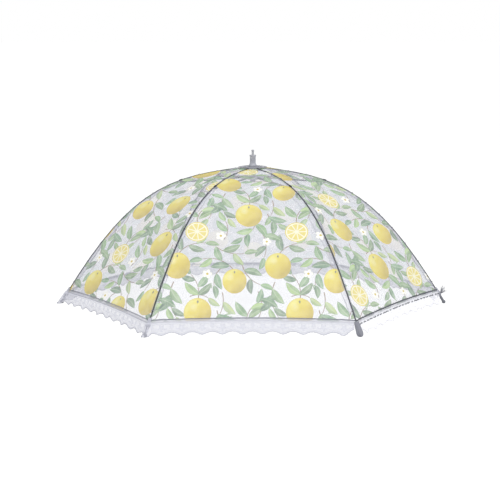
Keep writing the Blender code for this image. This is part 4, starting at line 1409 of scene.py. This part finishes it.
def make_floor():
    bpy.ops.mesh.primitive_plane_add(size=FLOOR_SIZE)
    floor = bpy.context.object
    floor.name = "floor"
    material = bpy.data.materials.new("floor")
    material.use_nodes = True
    tree = material.node_tree
    surface = tree.nodes["Principled BSDF"]
    surface.inputs["Base Color"].default_value = (*FLOOR_GREY, 1.0)
    surface.inputs["Roughness"].default_value = 0.9
    surface.inputs["Specular IOR Level"].default_value = 0.0
    glow = tree.nodes.new("ShaderNodeEmission")
    tree.links.new(level_by_ray(tree, FLOOR_BOUNCE, FLOOR_GLOW), glow.inputs["Strength"])
    both = tree.nodes.new("ShaderNodeAddShader")
    tree.links.new(surface.outputs[0], both.inputs[0])
    tree.links.new(glow.outputs[0], both.inputs[1])
    tree.links.new(both.outputs[0], tree.nodes["Material Output"].inputs["Surface"])
    floor.data.materials.append(material)


net = net_finish()
net_inner = net_finish(inside=True)
lace_white = lace_finish("lace_white", LACE_GROUND, LACE_FIGURE, LACE_SHADE)
# The same lace painted lit, whiter, for the sector that light falls full on
lace_painted_lit = lace_finish("lace_painted_lit", paint(220, 220, 227), paint(236, 236, 240), paint(192, 192, 202))
tape_cloth = woven_finish("tape_cloth", TAPE_GREY, paint(206, 207, 219), alpha=0.6)
pocket_cloth = woven_finish("pocket_cloth", POCKET_GREY, paint(130, 132, 142))
corner_cloth = woven_finish("corner_cloth", paint(206, 207, 216), paint(184, 186, 198))
seam_cloth = woven_finish("seam_cloth", paint(228, 228, 238), paint(206, 206, 221), alpha=0.32)
cap_cloth = woven_finish("cap_cloth", CAP_GREY, paint(172, 174, 184), alpha=0.6)
hem_thread = thread_finish("hem_thread", HEM_GREY, paint(126, 128, 142))
hem_dark = thread_finish("hem_dark", HEM_DARK, paint(74, 76, 84))
edge_thread = thread_finish("edge_thread", LACE_FIGURE, LACE_SHADE)
# Pale thread for the hem stitches everywhere, and the painted-lit edge cord of the bright sector's lace
pale_and_painted_lit_thread = thread_finish("pale_and_painted_lit_thread", paint(236, 236, 241), paint(216, 216, 224))
seam_thread = thread_finish("seam_thread", THREAD_GREY, paint(140, 142, 152))

dress(steel_finish("rib_wire", RIB_DARK, paint(62, 65, 70), 0.45, 0.55), "rib_", "stretcher_")
dress(steel_finish("clip_steel", CLIP_DARK, paint(48, 50, 54), 0.42, 0.6), "rib_clip_")
dress(plastic_finish("tip_plastic", TIP_GREY, paint(108, 110, 118)), "rib_tip_")
dress(plastic_finish("crown_plastic", PLASTIC_GREY, paint(160, 162, 170)), "crown_hub", "ferrule_collar",
      "runner", "plunger_knob")
dress(steel_finish("bright_steel", STEEL, paint(150, 152, 156), 0.35, 0.9), "plunger_tube", "crown_ring_wire")

for sector in range(1, RIB_COUNT + 1):
    for side in ("left", "right"):
        make_half(sector, side)
for rib in range(1, RIB_COUNT + 1):
    make_tie(rib)
    make_pocket(rib)
    rib_ties(rib)
    if rib not in BARE_RIBS:
        make_corner_lace(rib)
make_cap()

make_camera()
make_world()
for lamp in LAMPS:
    make_lamp(*lamp)
make_floor()
bpy.context.scene.view_settings.view_transform = "Standard"
